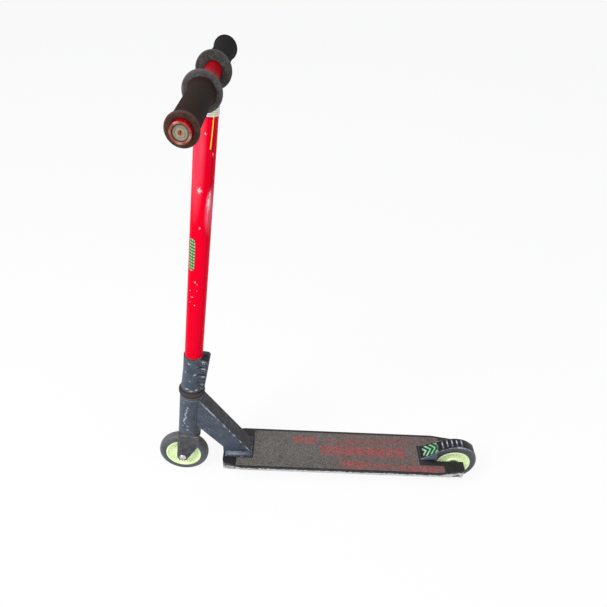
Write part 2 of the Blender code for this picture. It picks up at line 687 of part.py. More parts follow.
def make_grip(name, bar_axis, turned):
    """Rubber grip with a wide flange inboard and a rolled end outboard."""
    start = GRIP_GAP / 2
    end = CROSSBAR_LENGTH / 2 - GRIP_END_MARGIN
    bore = CROSSBAR_RADIUS + GAP
    step = GRIP_BLEND / 3
    flange = start + GRIP_FLANGE_THICKNESS
    roll = end - GRIP_END_THICKNESS
    outline = [
        (bore, start),
        (GRIP_FLANGE_RADIUS - GRIP_ROUNDING, start),
        (GRIP_FLANGE_RADIUS, start + GRIP_FLANGE_THICKNESS / 2),
        (GRIP_FLANGE_RADIUS - GRIP_ROUNDING, flange),
        (GRIP_RADIUS + step, flange + step / 2),
        (GRIP_RADIUS, flange + GRIP_BLEND),
        (GRIP_RADIUS, roll - GRIP_BLEND),
        (GRIP_END_RADIUS - GRIP_ROUNDING, roll),
        (GRIP_END_RADIUS, roll + GRIP_END_THICKNESS / 2),
        (GRIP_END_RADIUS - GRIP_ROUNDING, end),
        (bore, end),
    ]
    rubber = make_material(name + "_rubber", BLACK_RUBBER, 0.75)
    make_object(name, lathe(outline, TUBE_SEGMENTS), rubber, bar_axis, turned)


def make_bar_plug(name, bar_axis, turned):
    """End plug set a little inside the crossbar, with a groove and a screw recess."""
    radius = CROSSBAR_RADIUS - CROSSBAR_WALL - GAP
    end = CROSSBAR_LENGTH / 2 - PLUG_RECESS
    groove = 0.72 * radius
    outline = [
        (0, end - PLUG_DEPTH),
        (radius, end - PLUG_DEPTH),
        (radius, end),
        (groove, end),
        (groove, end - PLUG_GROOVE / 2),
        (groove - PLUG_GROOVE, end - PLUG_GROOVE / 2),
        (groove - PLUG_GROOVE, end),
        (PLUG_MARK_RADIUS, end),
        (PLUG_MARK_RADIUS, end - PLUG_MARK_DEPTH),
        (0, end - PLUG_MARK_DEPTH),
    ]
    plastic = make_material(name, GREY_PLASTIC, 0.5)
    make_object(name, lathe(outline, SMALL_SEGMENTS), plastic, bar_axis, turned)


def make_handlebar(steering):
    """T-bar: a wide down tube and a crossbar, with grips, end plugs, a label and its tie."""
    red = make_material("bar_red", RED_PAINT, 0.25)
    tube_top = CROSSBAR_HEIGHT - BAR_TUBE_SHORT_OF_CENTRE
    tube = make_object(
        "bar_down_tube",
        ring(BAR_TUBE_RADIUS - BAR_TUBE_WALL, BAR_TUBE_RADIUS, BAR_TUBE_LOW, tube_top),
        red,
        steering,
    )
    place = Matrix.Translation((0, 0, CROSSBAR_HEIGHT)) @ ALONG_Y
    cope = cylinder(CROSSBAR_RADIUS + GAP, -2 * BAR_TUBE_RADIUS, 2 * BAR_TUBE_RADIUS, TUBE_SEGMENTS)
    apply_boolean(tube, "DIFFERENCE", "bar_tube_cope", cope, place)
    axis = make_empty("crossbar_axis", place, steering)
    half = CROSSBAR_LENGTH / 2
    crossbar = ring(CROSSBAR_RADIUS - CROSSBAR_WALL, CROSSBAR_RADIUS, -half, half)
    make_object("crossbar", crossbar, red, axis)
    for side, turned in (("right", Matrix()), ("left", Matrix.Rotation(math.pi, 4, "X"))):
        make_grip("grip_" + side, axis, turned)
        make_bar_plug("bar_plug_" + side, axis, turned)
    label_top = CROSSBAR_HEIGHT - LABEL_DROP + LABEL_HEIGHT
    inner = BAR_TUBE_RADIUS + GAP
    label = ring(inner, inner + LABEL_THICKNESS, label_top - LABEL_HEIGHT, label_top)
    make_object("label_band", label, make_material("label_paper", PAPER_WHITE, 0.7), steering)
    out = inner + LABEL_THICKNESS + GAP
    low = label_top - TIE_LENGTH
    strip = box((out, -TIE_WIDTH / 2, -TIE_LENGTH / 2), (out + TIE_THICKNESS, TIE_WIDTH / 2, TIE_LENGTH / 2))
    strip.transform(Matrix.Rotation(TIE_LEAN, 4, "X"))
    middle = Matrix.Translation((0, 0, low + TIE_LENGTH / 2))
    place = middle @ Matrix.Rotation(TIE_TURN, 4, "Z")
    make_object("label_tie", strip, make_material("tie_yellow", TIE_YELLOW, 0.5), steering, place)


def deck_outline():
    """The deck's plan, as a closed outline seen from above."""
    nose = DECK_NOSE_CORNER
    tail = DECK_TAIL_CORNER
    side = arc((DECK_NOSE_X + nose, DECK_NOSE_HALF_WIDTH - nose), nose, 180, 100, 5)
    side += [(DECK_NOSE_X + nose + DECK_NOSE_TAPER, DECK_HALF_WIDTH)]
    side += [(DECK_TAIL_X - DECK_TAIL_TAPER, DECK_HALF_WIDTH)]
    side += arc((DECK_TAIL_X - tail, DECK_TAIL_HALF_WIDTH - tail), tail, 85, 0, 5)
    return side + [(x, -y) for x, y in reversed(side)]


def deck_section(wall):
    """The deck's cross-section, or the hollow inside it where wall isn't zero."""
    top = DECK_TOP - wall
    low = DECK_TOP - DECK_HEIGHT + wall
    wide = DECK_HALF_WIDTH - wall
    narrow = DECK_HALF_WIDTH - DECK_CHAMFER_IN - wall / 2
    shoulder = DECK_TOP - DECK_SIDE_HEIGHT
    right = [(wide, top), (wide, shoulder), (narrow, low)]
    return right + [(-y, z) for y, z in reversed(right)]


def make_deck():
    """Hollow aluminium deck with a slot for the rear wheel between its two rails."""
    metal = make_material("deck_aluminium", BLACK_PAINT, 0.45, 0.3)
    deck = make_object("deck", prism(deck_section(0), DECK_NOSE_X, DECK_TAIL_X, "X"), metal)
    plan = prism(deck_outline(), -CUTTER_REACH, CUTTER_REACH, "Z")
    apply_boolean(deck, "INTERSECT", "deck_plan", plan)
    hollow_start = DECK_NOSE_X + DECK_NOSE_CORNER + DECK_NOSE_TAPER / 2
    hollow_end = SLOT_X - 2 * DECK_WALL
    hollow = prism(deck_section(DECK_WALL), hollow_start, hollow_end, "X")
    apply_boolean(deck, "DIFFERENCE", "deck_hollow", hollow)
    low = DECK_TOP - DECK_HEIGHT + 2 * DECK_WALL
    high = DECK_TOP - 2 * DECK_WALL
    half = SLOT_HALF_WIDTH - DECK_WALL
    mouth = box((hollow_end - DECK_WALL, -half, low), (SLOT_X + DECK_WALL, half, high))
    apply_boolean(deck, "DIFFERENCE", "deck_mouth", mouth)
    slot = [(-SLOT_HALF_WIDTH, -CUTTER_REACH), (SLOT_HALF_WIDTH, -CUTTER_REACH)]
    slot += [(SLOT_HALF_WIDTH, CUTTER_REACH), (-SLOT_HALF_WIDTH, CUTTER_REACH)]
    slot = prism(slot, SLOT_X, DECK_TAIL_X + CUTTER_REACH, "X")
    apply_boolean(deck, "DIFFERENCE", "deck_wheel_slot", slot)
    axle = cylinder(AXLE_RADIUS + GAP, -CUTTER_REACH, CUTTER_REACH)
    apply_boolean(deck, "DIFFERENCE", "deck_axle_hole", axle, wheel_matrix(REAR_AXLE_X))
    pockets = merge(
        cylinder(AXLE_POCKET_RADIUS, AXLE_POCKET_FLOOR, CUTTER_REACH, TUBE_SEGMENTS),
        cylinder(AXLE_POCKET_RADIUS, -CUTTER_REACH, -AXLE_POCKET_FLOOR, TUBE_SEGMENTS),
    )
    apply_boolean(deck, "DIFFERENCE", "deck_axle_pockets", pockets, wheel_matrix(REAR_AXLE_X))
    holes = []
    for y in (-BRAKE_BOLT_SPREAD, BRAKE_BOLT_SPREAD):
        hole = cylinder(BRAKE_BOLT_RADIUS + GAP, DECK_TOP - 3 * DECK_WALL, DECK_TOP + CUTTER_REACH, 12)
        hole.transform(Matrix.Translation((BRAKE_BOLT_X, y, 0)))
        holes.append(hole)
    apply_boolean(deck, "DIFFERENCE", "deck_brake_holes", merge(*holes))


def make_neck(steering):
    """Welded box beam from the deck's nose up to the head tube, open at its foot."""
    paint = make_material("neck_paint", SLATE_PAINT, 0.45)
    base = DECK_TOP + GAP
    rear = DECK_NOSE_X + NECK_BASE_LENGTH
    outline = [
        steering_point(0, NECK_FOOT_HEIGHT + NECK_FOOT_OUT),
        steering_point(NECK_FOOT_OUT, NECK_FOOT_HEIGHT),
        (DECK_NOSE_X, base + NECK_KNEE_HEIGHT),
        (DECK_NOSE_X, base),
        (rear, base),
        (rear, base + NECK_BASE_RISE),
        steering_point(NECK_TOP_OUT, NECK_TOP_HEIGHT),
        steering_point(0, NECK_TOP_HEIGHT),
    ]
    neck = make_object("neck", prism(outline, -NECK_HALF_WIDTH, NECK_HALF_WIDTH, "Y"), paint)
    wide = NECK_LEDGE_HALF_WIDTH
    ledge = [(-wide, base), (wide, base), (wide, base + NECK_LEDGE_EDGE)]
    ledge += [(NECK_HALF_WIDTH, base + NECK_LEDGE_HEIGHT), (-NECK_HALF_WIDTH, base + NECK_LEDGE_HEIGHT)]
    ledge += [(-wide, base + NECK_LEDGE_EDGE)]
    apply_boolean(neck, "UNION", "neck_ledge", prism(ledge, DECK_NOSE_X + NECK_LEDGE_SETBACK, rear, "X"))
    hollow = inset(outline, NECK_WALL)
    hollow[3] = (hollow[3][0], base - NECK_WALL)
    hollow[4] = (hollow[5][0], base - NECK_WALL)
    inner = NECK_HALF_WIDTH - NECK_WALL
    apply_boolean(neck, "DIFFERENCE", "neck_hollow", prism(hollow, -inner, inner, "Y"))
    cope = cylinder(HEAD_TUBE_RADIUS + GAP, 0, CUTTER_REACH, TUBE_SEGMENTS)
    apply_boolean(neck, "DIFFERENCE", "neck_cope", cope, steering_matrix())
    tube = ring(HEAD_TUBE_BORE, HEAD_TUBE_RADIUS, HEAD_TUBE_LOW, HEAD_TUBE_TOP)
    make_object("head_tube", tube, paint, steering)


def make_grip_tape():
    """Grit sheet on the deck, cut round the neck and the brake's foot."""
    near_front = DECK_NOSE_X + TAPE_FRONT_NEAR
    far_front = DECK_NOSE_X + TAPE_FRONT_FAR
    near = DECK_HALF_WIDTH - TAPE_NEAR_MARGIN
    far = DECK_HALF_WIDTH - TAPE_FAR_MARGIN
    neck_side = NECK_LEDGE_HALF_WIDTH + TAPE_NECK_MARGIN
    behind_neck = max(DECK_NOSE_X + NECK_BASE_LENGTH + TAPE_NECK_MARGIN, far_front)
    cut = REAR_AXLE_X - TAPE_CUT_AHEAD_OF_AXLE
    end = REAR_AXLE_X - TAPE_END_AHEAD_OF_AXLE
    taper_start = DECK_TAIL_X - DECK_TAIL_TAPER
    slope = (DECK_HALF_WIDTH - DECK_TAIL_HALF_WIDTH) / (DECK_TAIL_TAPER - DECK_TAIL_CORNER)
    narrowing = slope * (end - taper_start)
    outline = [
        (near_front, -near),
        (taper_start, -near),
        (end, narrowing - near),
        (end, -TAPE_CUT_NEAR),
        (cut, -TAPE_CUT_NEAR),
        (cut, TAPE_CUT_FAR),
        (end, TAPE_CUT_FAR),
        (end, far - narrowing),
        (taper_start, far),
        (far_front, far),
        (behind_neck, neck_side),
        (behind_neck, -neck_side),
        (near_front, -neck_side),
    ]
    grit = make_material("grit_sheet", GRIT_GREY, 0.95)
    make_object("grip_tape", prism(outline, TAPE_LOW, TAPE_TOP, "Z"), grit)


def brake_ramp():
    """The ramp's lower end, the point where it meets the hood's circle, and the normal there, in (x, z)."""
    axle = Vector((REAR_AXLE_X, WHEEL_RADIUS))
    foot = Vector((BRAKE_FOOT_X, BRAKE_BASE + BRAKE_LIP))
    away = foot - axle
    leave = math.atan2(away.y, away.x) - math.acos(BRAKE_OUTER / away.length)
    normal = Vector((math.cos(leave), math.sin(leave)))
    return foot, axle + normal * BRAKE_OUTER, normal


def brake_half_width(share):
    """Half the brake's width at a share of its ramp."""
    return BRAKE_FOOT_HALF_WIDTH + (BRAKE_HALF_WIDTH - BRAKE_FOOT_HALF_WIDTH) * share


def brake_block(outline, wall):
    """A block with the given (x, z) outline and the brake's tapering width, less a wall at each side."""
    foot, touch, _ = brake_ramp()
    block = prism(outline, -1, 1, "Y")
    for vert in block.verts:
        vert.co.y *= brake_half_width((vert.co.x - foot.x) / (touch.x - foot.x)) - wall
    return block


def make_brake_foot(plastic):
    """The wedge under the brake's ramp: solid at its front, hollow over the tyre, bolted from below."""
    foot, touch, normal = brake_ramp()
    fold = foot.lerp(touch, BRAKE_FOLD_SHARE)
    under = fold - normal * BRAKE_THICKNESS
    outline = [(BRAKE_FOOT_X, BRAKE_BASE), tuple(foot), tuple(fold), tuple(under), (under.x, BRAKE_BASE)]
    wedge = make_object("brake_foot", brake_block(outline, 0), plastic)
    inner = foot - normal * BRAKE_FOOT_ROOF
    block_x = BRAKE_FOOT_X + BRAKE_BLOCK_LENGTH
    low = inner + (touch - foot) * (block_x - inner.x) / (touch.x - foot.x)
    room = [(block_x, BRAKE_BASE - GAP), tuple(low), tuple(inner + touch - foot), (touch.x, BRAKE_BASE - GAP)]
    apply_boolean(wedge, "DIFFERENCE", "brake_foot_room", brake_block(room, BRAKE_FOOT_WALL))
    holes = []
    for y in (-BRAKE_BOLT_SPREAD, BRAKE_BOLT_SPREAD):
        hole = cylinder(BRAKE_BOLT_RADIUS + GAP, BRAKE_BASE - GAP, BRAKE_BASE + BRAKE_BOLT_DEPTH + GAP)
        hole.transform(Matrix.Translation((BRAKE_BOLT_X, y, 0)))
        holes.append(hole)
    apply_boolean(wedge, "DIFFERENCE", "brake_foot_holes", merge(*holes))


def make_brake_bolts():
    """Two bolts that hold the brake's foot from inside the deck."""
    steel = make_material("brake_bolt_steel", BLACK_PAINT, 0.4, 1.0)
    seat = DECK_TOP - DECK_WALL - GAP
    tip = BRAKE_BASE + BRAKE_BOLT_DEPTH
    profile = [
        (0, seat - BRAKE_BOLT_HEAD_HEIGHT),
        (0.6 * BRAKE_BOLT_HEAD_RADIUS, seat - BRAKE_BOLT_HEAD_HEIGHT),
        (BRAKE_BOLT_HEAD_RADIUS, seat - 0.6 * BRAKE_BOLT_HEAD_HEIGHT),
        (BRAKE_BOLT_HEAD_RADIUS, seat),
        (BRAKE_BOLT_RADIUS, seat),
        (BRAKE_BOLT_RADIUS, tip),
        (0, tip),
    ]
    for side, y in (("left", -BRAKE_BOLT_SPREAD), ("right", BRAKE_BOLT_SPREAD)):
        place = Matrix.Translation((BRAKE_BOLT_X, y, 0))
        make_object("brake_bolt_" + side, lathe(profile, SMALL_SEGMENTS), steel, None, place)


def brake_stations():
    """Places along the brake's hood: (x, z) point, outward normal, half-width and how far its edges drop."""
    foot, touch, normal = brake_ramp()
    start = foot.lerp(touch, BRAKE_FOLD_SHARE) + (touch - foot).normalized() * GAP
    stations = [(start, normal, brake_half_width(BRAKE_FOLD_SHARE), 0)]
    leave = math.atan2(normal.y, normal.x)
    axle = Vector((REAR_AXLE_X, WHEEL_RADIUS))
    for i in range(BRAKE_HOOD_STEPS + 1):
        share = i / BRAKE_HOOD_STEPS
        angle = leave + (BRAKE_TAIL_ANGLE - leave) * share
        direction = Vector((math.cos(angle), math.sin(angle)))
        tip = max(0, i - BRAKE_HOOD_STEPS + BRAKE_TIP_STEPS) / BRAKE_TIP_STEPS
        half = BRAKE_HALF_WIDTH * (1 - BRAKE_TIP_NARROWING * tip)
        drop = BRAKE_START_DROP + (BRAKE_TAIL_DROP - BRAKE_START_DROP) * share
        stations.append((axle + direction * BRAKE_OUTER, direction, half, drop))
    return stations


def make_brake_hood(plastic):
    """The ribbed hood that bends at its fold down onto the tyre."""
    bm = bmesh.new()
    loops = []
    stations = brake_stations()
    for point, normal, half, drop in stations:
        loop = []
        for share, fall in BRAKE_SECTION_SHARES:
            lift = point - normal * drop * fall
            loop.append(bm.verts.new((lift.x, share * half, lift.y)))
        for share, fall in reversed(BRAKE_SECTION_SHARES):
            lift = point - normal * (BRAKE_THICKNESS + BRAKE_INNER_DROP_SHARE * drop * fall)
            loop.append(bm.verts.new((lift.x, share * (half - BRAKE_EDGE), lift.y)))
        loops.append(loop)
    for one, two in zip(loops, loops[1:]):
        for i in range(len(one)):
            j = (i + 1) % len(one)
            bm.faces.new([one[i], one[j], two[j], two[i]])
    bm.faces.new(loops[0])
    bm.faces.new(loops[-1])
    point, normal = stations[0][:2]
    middle = point - normal * BRAKE_THICKNESS / 2
    fold = make_empty("brake_fold", Matrix.Translation((middle.x, 0, middle.y)) @ ALONG_Y)
    in_fold = fold.matrix_basis.inverted()
    blade = make_object("brake_blade", bm, plastic, fold, in_fold)
    centre = Matrix.Translation((REAR_AXLE_X, 0, WHEEL_RADIUS))
    thick = BRAKE_RIB_THICKNESS / 2
    wide = BRAKE_RIB_HALF_WIDTH
    ribs = []
    for i in range(BRAKE_RIBS):
        angle = BRAKE_RIB_START + i * BRAKE_RIB_STEP
        low = BRAKE_OUTER - BRAKE_THICKNESS / 2
        rib = box((-thick, -wide, low), (thick, wide, BRAKE_OUTER + BRAKE_RIB_HEIGHT))
        rib.transform(centre @ Matrix.Rotation(math.pi / 2 - angle, 4, "Y"))
        ribs.append(rib)
    apply_boolean(blade, "UNION", "brake_ribs", merge(*ribs))


def make_brake():
    """Flex brake over the rear wheel: foot, bolts and hood."""
    plastic = make_material("brake_plastic", BLACK_PLASTIC, 0.35)
    make_brake_foot(plastic)
    make_brake_bolts()
    make_brake_hood(plastic)


def main():
    """Builds the whole scooter."""
    clear_scene()
    steering = make_empty("steering_axis", steering_matrix())
    make_deck()
    make_neck(steering)
    make_grip_tape()
    make_brake()
    make_headset(steering)
    make_fork(steering)
    make_clamp(steering)
    make_compression(steering)
    make_handlebar(steering)
    front = make_wheel("front", FRONT_AXLE_X, FORK_LEG_GAP / 2, steering)
    make_axle("front", front, FORK_LEG_GAP / 2 + FORK_LEG_THICKNESS)
    rear = make_wheel("rear", REAR_AXLE_X, SLOT_HALF_WIDTH)
    make_axle("rear", rear, AXLE_POCKET_FLOOR)


main()
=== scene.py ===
"""Looks of a stunt scooter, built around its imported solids.

Lengths are metres in the frame of the solids: +Z up, -X forward, +Y towards the rider's right, and the
origin on the ground midway between the axles. Sizes of patterns in finishes are millimetres.
"""

import json
import logging
import math
from collections.abc import Callable, Sequence
from dataclasses import dataclass
from enum import Enum
from functools import reduce
from statistics import NormalDist

import bmesh
import bpy
from mathutils import Matrix, Vector


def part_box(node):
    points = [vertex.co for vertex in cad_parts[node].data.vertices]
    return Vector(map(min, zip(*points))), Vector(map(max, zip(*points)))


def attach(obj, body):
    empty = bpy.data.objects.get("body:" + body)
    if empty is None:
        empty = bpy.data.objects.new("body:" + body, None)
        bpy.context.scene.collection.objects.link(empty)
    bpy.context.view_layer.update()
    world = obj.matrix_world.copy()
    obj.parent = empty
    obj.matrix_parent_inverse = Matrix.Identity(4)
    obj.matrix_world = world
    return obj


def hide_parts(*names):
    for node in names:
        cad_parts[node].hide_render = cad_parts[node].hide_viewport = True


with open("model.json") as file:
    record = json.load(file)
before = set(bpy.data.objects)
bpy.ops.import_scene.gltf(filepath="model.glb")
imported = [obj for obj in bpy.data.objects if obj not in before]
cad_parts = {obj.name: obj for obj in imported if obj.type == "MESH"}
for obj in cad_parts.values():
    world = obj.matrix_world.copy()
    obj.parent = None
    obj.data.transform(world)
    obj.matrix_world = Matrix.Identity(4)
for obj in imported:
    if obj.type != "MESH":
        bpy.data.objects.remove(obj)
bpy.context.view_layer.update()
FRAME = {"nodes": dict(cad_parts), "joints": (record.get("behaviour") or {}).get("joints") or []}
LOG = logging.getLogger("scooter")

Socket = bpy.types.NodeSocket
Material = bpy.types.Material
Shape = bmesh.types.BMesh
Inputs = dict[int | str, object]
Triple = tuple[float, float, float]
Profile = Sequence[tuple[float, float]]
Places = Sequence[tuple[float, ...]]
Rings = Sequence[tuple[float, float, str]]

MM = 0.001
FAR = 1.0  # Beyond every piece, for the open end of a band.
SHARP_ANGLE = math.radians(32)
SEAM_ANGLE = math.radians(24)
FLAT_ANGLE = math.radians(1)
MERGE_DISTANCE = 2e-6
ROUNDING_SHARE = 0.45  # The most of a side that one corner's rounding takes.
BEVEL_STEPS = 3
NOISE_SPREAD = 0.11
NOISE_DETAIL = 3.0
STRIPE_SOFTNESS = 0.15
EDGE_LAYER = "edge_wear"
DARKENING_LAYER = "darkening"


class Body(Enum):
    """The bodies that pieces ride on."""

    FRAME = "frame"
    FRONT_END = "front_end"
    FRONT_WHEEL = "front_wheel"
    REAR_WHEEL = "rear_wheel"
    BRAKE = "brake"


class Side(Enum):
    """The rider's left and right, as signs of Y."""

    LEFT = -1
    RIGHT = 1


class Axis(Enum):
    """One axis of a finish's coordinates."""

    X = 0
    Y = 1
    Z = 2


class Shade(Enum):
    """Colours shared by the finishes, as sRGB."""

    SLATE = "#3E4856"
    SLATE_DARK = "#2C3440"
    SLATE_LIGHT = "#626D7C"
    DUST = "#3F3B39"
    CHIP = "#B4B8C1"
    ALUMINIUM = "#CBCCCE"


def mm(*values: float) -> Vector:
    """A vector of metres, given in millimetres."""
    return Vector(values) * MM


def linear(code: str) -> tuple[float, float, float, float]:
    """Turns an sRGB hex colour to linear red, green, blue and alpha.

    Args:
        code: six hex digits with a leading hash.

    Returns:
        The linear colour with alpha 1.
    """
    shares = [int(code[i : i + 2], 16) / 255 for i in (1, 3, 5)]
    red, green, blue = (s / 12.92 if s <= 0.04045 else ((s + 0.055) / 1.055) ** 2.4 for s in shares)
    return red, green, blue, 1.0


def set_inputs(node: bpy.types.Node, inputs: Inputs) -> None:
    """Gives a node its values and links.

    Args:
        node: the node.
        inputs: a value or an output socket for each input's name or number.
    """
    for key, value in inputs.items():
        if isinstance(value, Socket):
            node.id_data.links.new(value, node.inputs[key])
        else:
            node.inputs[key].default_value = value


def add_node(
    tree: bpy.types.NodeTree, kind: str, inputs: Inputs | None = None, **settings: object
) -> bpy.types.Node:
    """Adds a node with its settings, values and links.

    Args:
        tree: the node tree that it goes in.
        kind: the node's type.
        inputs: a value or an output socket for each input's name or number.
        settings: its properties.

    Returns:
        The new node.
    """
    node = tree.nodes.new(kind)
    for key, value in settings.items():
        setattr(node, key, value)
    set_inputs(node, inputs or {})
    return node


class Graph:
    """A node tree under construction."""

    def __init__(self, tree: bpy.types.NodeTree) -> None:
        """Takes the tree that the nodes go in."""
        self.tree = tree

    def add(self, kind: str, inputs: Inputs | None = None, **settings: object) -> Socket:
        """Adds a node and gives its first output. See add_node."""
        return add_node(self.tree, kind, inputs, **settings).outputs[0]

    def calc(self, operation: str, *values: object) -> Socket:
        """One step of arithmetic on numbers, by a Math node's operation."""
        return self.add("ShaderNodeMath", dict(enumerate(values)), operation=operation)

    def vector(self, operation: str, *values: object) -> Socket:
        """One step of arithmetic on vectors, which gives a number for a length or a dot product."""
        node = add_node(self.tree, "ShaderNodeVectorMath", dict(enumerate(values)), operation=operation)
        return node.outputs["Value" if operation in ("LENGTH", "DOT_PRODUCT") else "Vector"]

    def product(self, *values: object) -> Socket:
        """Numbers multiplied together, which for masks is where all of them are."""
        return reduce(lambda a, b: self.calc("MULTIPLY", a, b), values)

    def ramp(self, value: Socket, low: float, high: float, full: float = 1.0) -> Socket:
        """Turns a value to a mask that is 0 at low and full at high."""
        inputs = {"Value": value, "From Min": low, "From Max": high, "To Max": full}
        return self.add("ShaderNodeMapRange", inputs)


@dataclass(frozen=True)
class Coat:
    """One layer of a finish: its sRGB colour, roughness and metallic."""

    colour: str
    roughness: float
    metallic: float = 0.0


@dataclass(frozen=True)
class Grain:
    """Irregular patches.

    They lie size mm apart, take a share of the surface and end softly, in the noise's own range. The seed
    picks another pattern of the same kind, and stretch makes the patches longer along each axis.
    """

    size: float
    share: float
    soft: float = 0.05
    seed: float = 0.0
    stretch: Triple = (1.0, 1.0, 1.0)


@dataclass(frozen=True)
class Mark:
    """A place on a finish: an ellipsoid, the angle of its long axis above X, and how fully it is marked."""

    centre: Sequence[float]
    size: Sequence[float]
    rise: float = 0.0
    strength: float = 1.0


class Surface(Graph):
    """A finish under construction, laid coat over coat on Object coordinates."""

    def __init__(self, name: str, coat: Coat, frame: Matrix | None = None) -> None:
        """Starts a material with its first coat.

        Args:
            name: the material's name.
            coat: what lies under everything else.
            frame: a frame that the coordinates are measured in, or None for the object's own.
        """
        self.material = bpy.data.materials.new(name)
        self.material.use_nodes = True
        super().__init__(self.material.node_tree)
        coordinates = add_node(self.tree, "ShaderNodeTexCoord").outputs
        self.normal, self.place = coordinates["Normal"], coordinates["Object"]
        if frame is not None:
            inputs = {"Location": frame.translation, "Rotation": frame.to_euler(), "Vector": self.place}
            self.place = self.add("ShaderNodeMapping", inputs, vector_type="TEXTURE")
        self.colour: object = linear(coat.colour)
        self.roughness: object = coat.roughness
        self.metallic: object = coat.metallic
        self.relief: Inputs = {}

    def part(self, axis: Axis) -> Socket:
        """One of the finish's coordinates."""
        return add_node(self.tree, "ShaderNodeSeparateXYZ", {0: self.place}).outputs[axis.value]

    def distance(self, centre: Sequence[float] = (0, 0, 0), across: Sequence[float] = (1, 1, 0)) -> Socket:
        """How far the surface is from an axis through centre, where across is 0 along it and 1 elsewhere."""
        away = self.vector("SUBTRACT", self.place, centre)
        return self.vector("LENGTH", self.vector("MULTIPLY", away, across))

    def unroll(self, radius: float) -> None:
        """Changes the coordinates to the way round a cylinder, the distance from its axis, and Z."""
        around = self.calc("MULTIPLY", self.calc("ARCTAN2", self.part(Axis.Y), self.part(Axis.X)), radius)
        self.place = self.add("ShaderNodeCombineXYZ", {0: around, 1: self.distance(), 2: self.part(Axis.Z)})

    def grain(self, patches: Grain) -> Socket:
        """A mask of irregular patches.

        Args:
            patches: their size and kind.

        Returns:
            A socket from 0 to 1.
        """
        place = self.vector("DIVIDE", self.place, patches.stretch)
        scale = 1 / (patches.size * MM)
        inputs = {"Vector": place, "W": patches.seed, "Scale": scale, "Detail": NOISE_DETAIL}
        noise = self.add("ShaderNodeTexNoise", inputs, noise_dimensions="4D")
        level = 0.5 + NOISE_SPREAD * NormalDist().inv_cdf(1 - patches.share)
        return self.ramp(noise, level - patches.soft, level + patches.soft)

    def waves(self, value: Socket, pitch: float, share: float) -> Socket:
        """A mask of even stripes counted along a value in metres, each taking a share of the pitch."""
        edges = (pitch / 2 * share * (1 + side * STRIPE_SOFTNESS) for side in (1, -1))
        return self.ramp(self.calc("PINGPONG", value, pitch / 2), *edges)

    def band(self, axis: Axis, low: float, high: float, soft: float, ragged_mm: float = 0.0) -> Socket:
        """A mask that is 1 between two places along an axis.

        Args:
            axis: the axis of the finish's coordinates.
            low: where it starts, in metres.
            high: where it ends, in metres.
            soft: half the width of its soft edges, in metres.
            ragged_mm: how far its edges wander.

        Returns:
            A socket from 0 to 1.
        """
        value = self.part(axis)
        if ragged_mm:
            wander = self.grain(Grain(3 * ragged_mm, 0.5, 0.2, 7.0))
            moved = self.calc("MULTIPLY_ADD", wander, 2 * ragged_mm * MM, value)
            value = self.calc("SUBTRACT", moved, ragged_mm * MM)
        rise = self.ramp(value, low - soft, low + soft)
        return self.product(rise, self.ramp(value, high + soft, high - soft))

    def spot(self, mark: Mark, soft: float = 0.3, ragged_mm: float = 0.0) -> Socket:
        """A mask round one place.

        Args:
            mark: the place and its half-sizes.
            soft: how softly it ends, as a share of its size.
            ragged_mm: the size of the lumps in its outline, or 0 for a smooth one.

        Returns:
            A socket from 0 to 1.
        """
        away = self.vector("SUBTRACT", self.place, mark.centre)
        if mark.rise:
            inputs = {"Vector": away, "Angle": mark.rise}
            away = self.add("ShaderNodeVectorRotate", inputs, rotation_type="Y_AXIS")
        value = self.vector("LENGTH", self.vector("DIVIDE", away, mark.size))
        if ragged_mm:
            value = self.calc("ADD", value, self.grain(Grain(ragged_mm, 0.5, 0.15, 3.0)))
        return self.ramp(value, 1 + soft, 1 - soft, mark.strength)

    def facing(self, direction: Triple, low: float, high: float) -> Socket:
        """A mask of what faces one way, from the cosine low, where it starts, to high, where it is full."""
        return self.ramp(self.vector("DOT_PRODUCT", self.normal, direction), low, high)

    def layer(self, name: str) -> Socket:
        """A mask that a piece's own faces carry."""
        return add_node(self.tree, "ShaderNodeAttribute", attribute_name=name).outputs["Fac"]

    def cover(self, mask: Socket, coat: Coat, strength: float = 1.0) -> None:
        """Lays a coat over what is there already.

        Args:
            mask: where the coat lies.
            coat: its colour, roughness and metallic.
            strength: how fully it covers.
        """
        if strength < 1:
            mask = self.calc("MULTIPLY", mask, strength)
        mix = {0: mask, 6: self.colour, 7: linear(coat.colour)}
        self.colour = add_node(self.tree, "ShaderNodeMix", mix, data_type="RGBA").outputs[2]
        if self.roughness != coat.roughness:
            self.roughness = self.add("ShaderNodeMix", {0: mask, 2: self.roughness, 3: coat.roughness})
        if self.metallic != coat.metallic:
            self.metallic = self.add("ShaderNodeMix", {0: mask, 2: self.metallic, 3: coat.metallic})

    def stain(self, patches: Grain, coat: Coat, strength: float = 1.0, *within: Socket) -> None:
        """Lays a coat in irregular patches, within other masks if there are any."""
        self.cover(self.product(*within, self.grain(patches)), coat, strength)

    def wear(self, patches: Grain, coat: Coat, strength: float = 1.0) -> None:
        """Lays a coat in patches along the piece's rounded edges."""
        self.stain(patches, coat, strength, self.layer(EDGE_LAYER))

    def dent(self, mask: Socket, coat: Coat, strength: float, depth_mm: float) -> None:
        """Lays a coat and sinks the surface under it."""
        self.cover(mask, coat, strength)
        self.emboss(mask, -depth_mm)

    def emboss(self, mask: Socket, height_mm: float) -> None:
        """Raises the surface where a mask is 1, or sinks it with a negative height."""
        inputs = {"Height": mask, "Distance": abs(height_mm) * MM, "Strength": 1.0, **self.relief}
        self.relief = {"Normal": self.add("ShaderNodeBump", inputs, invert=height_mm < 0)}

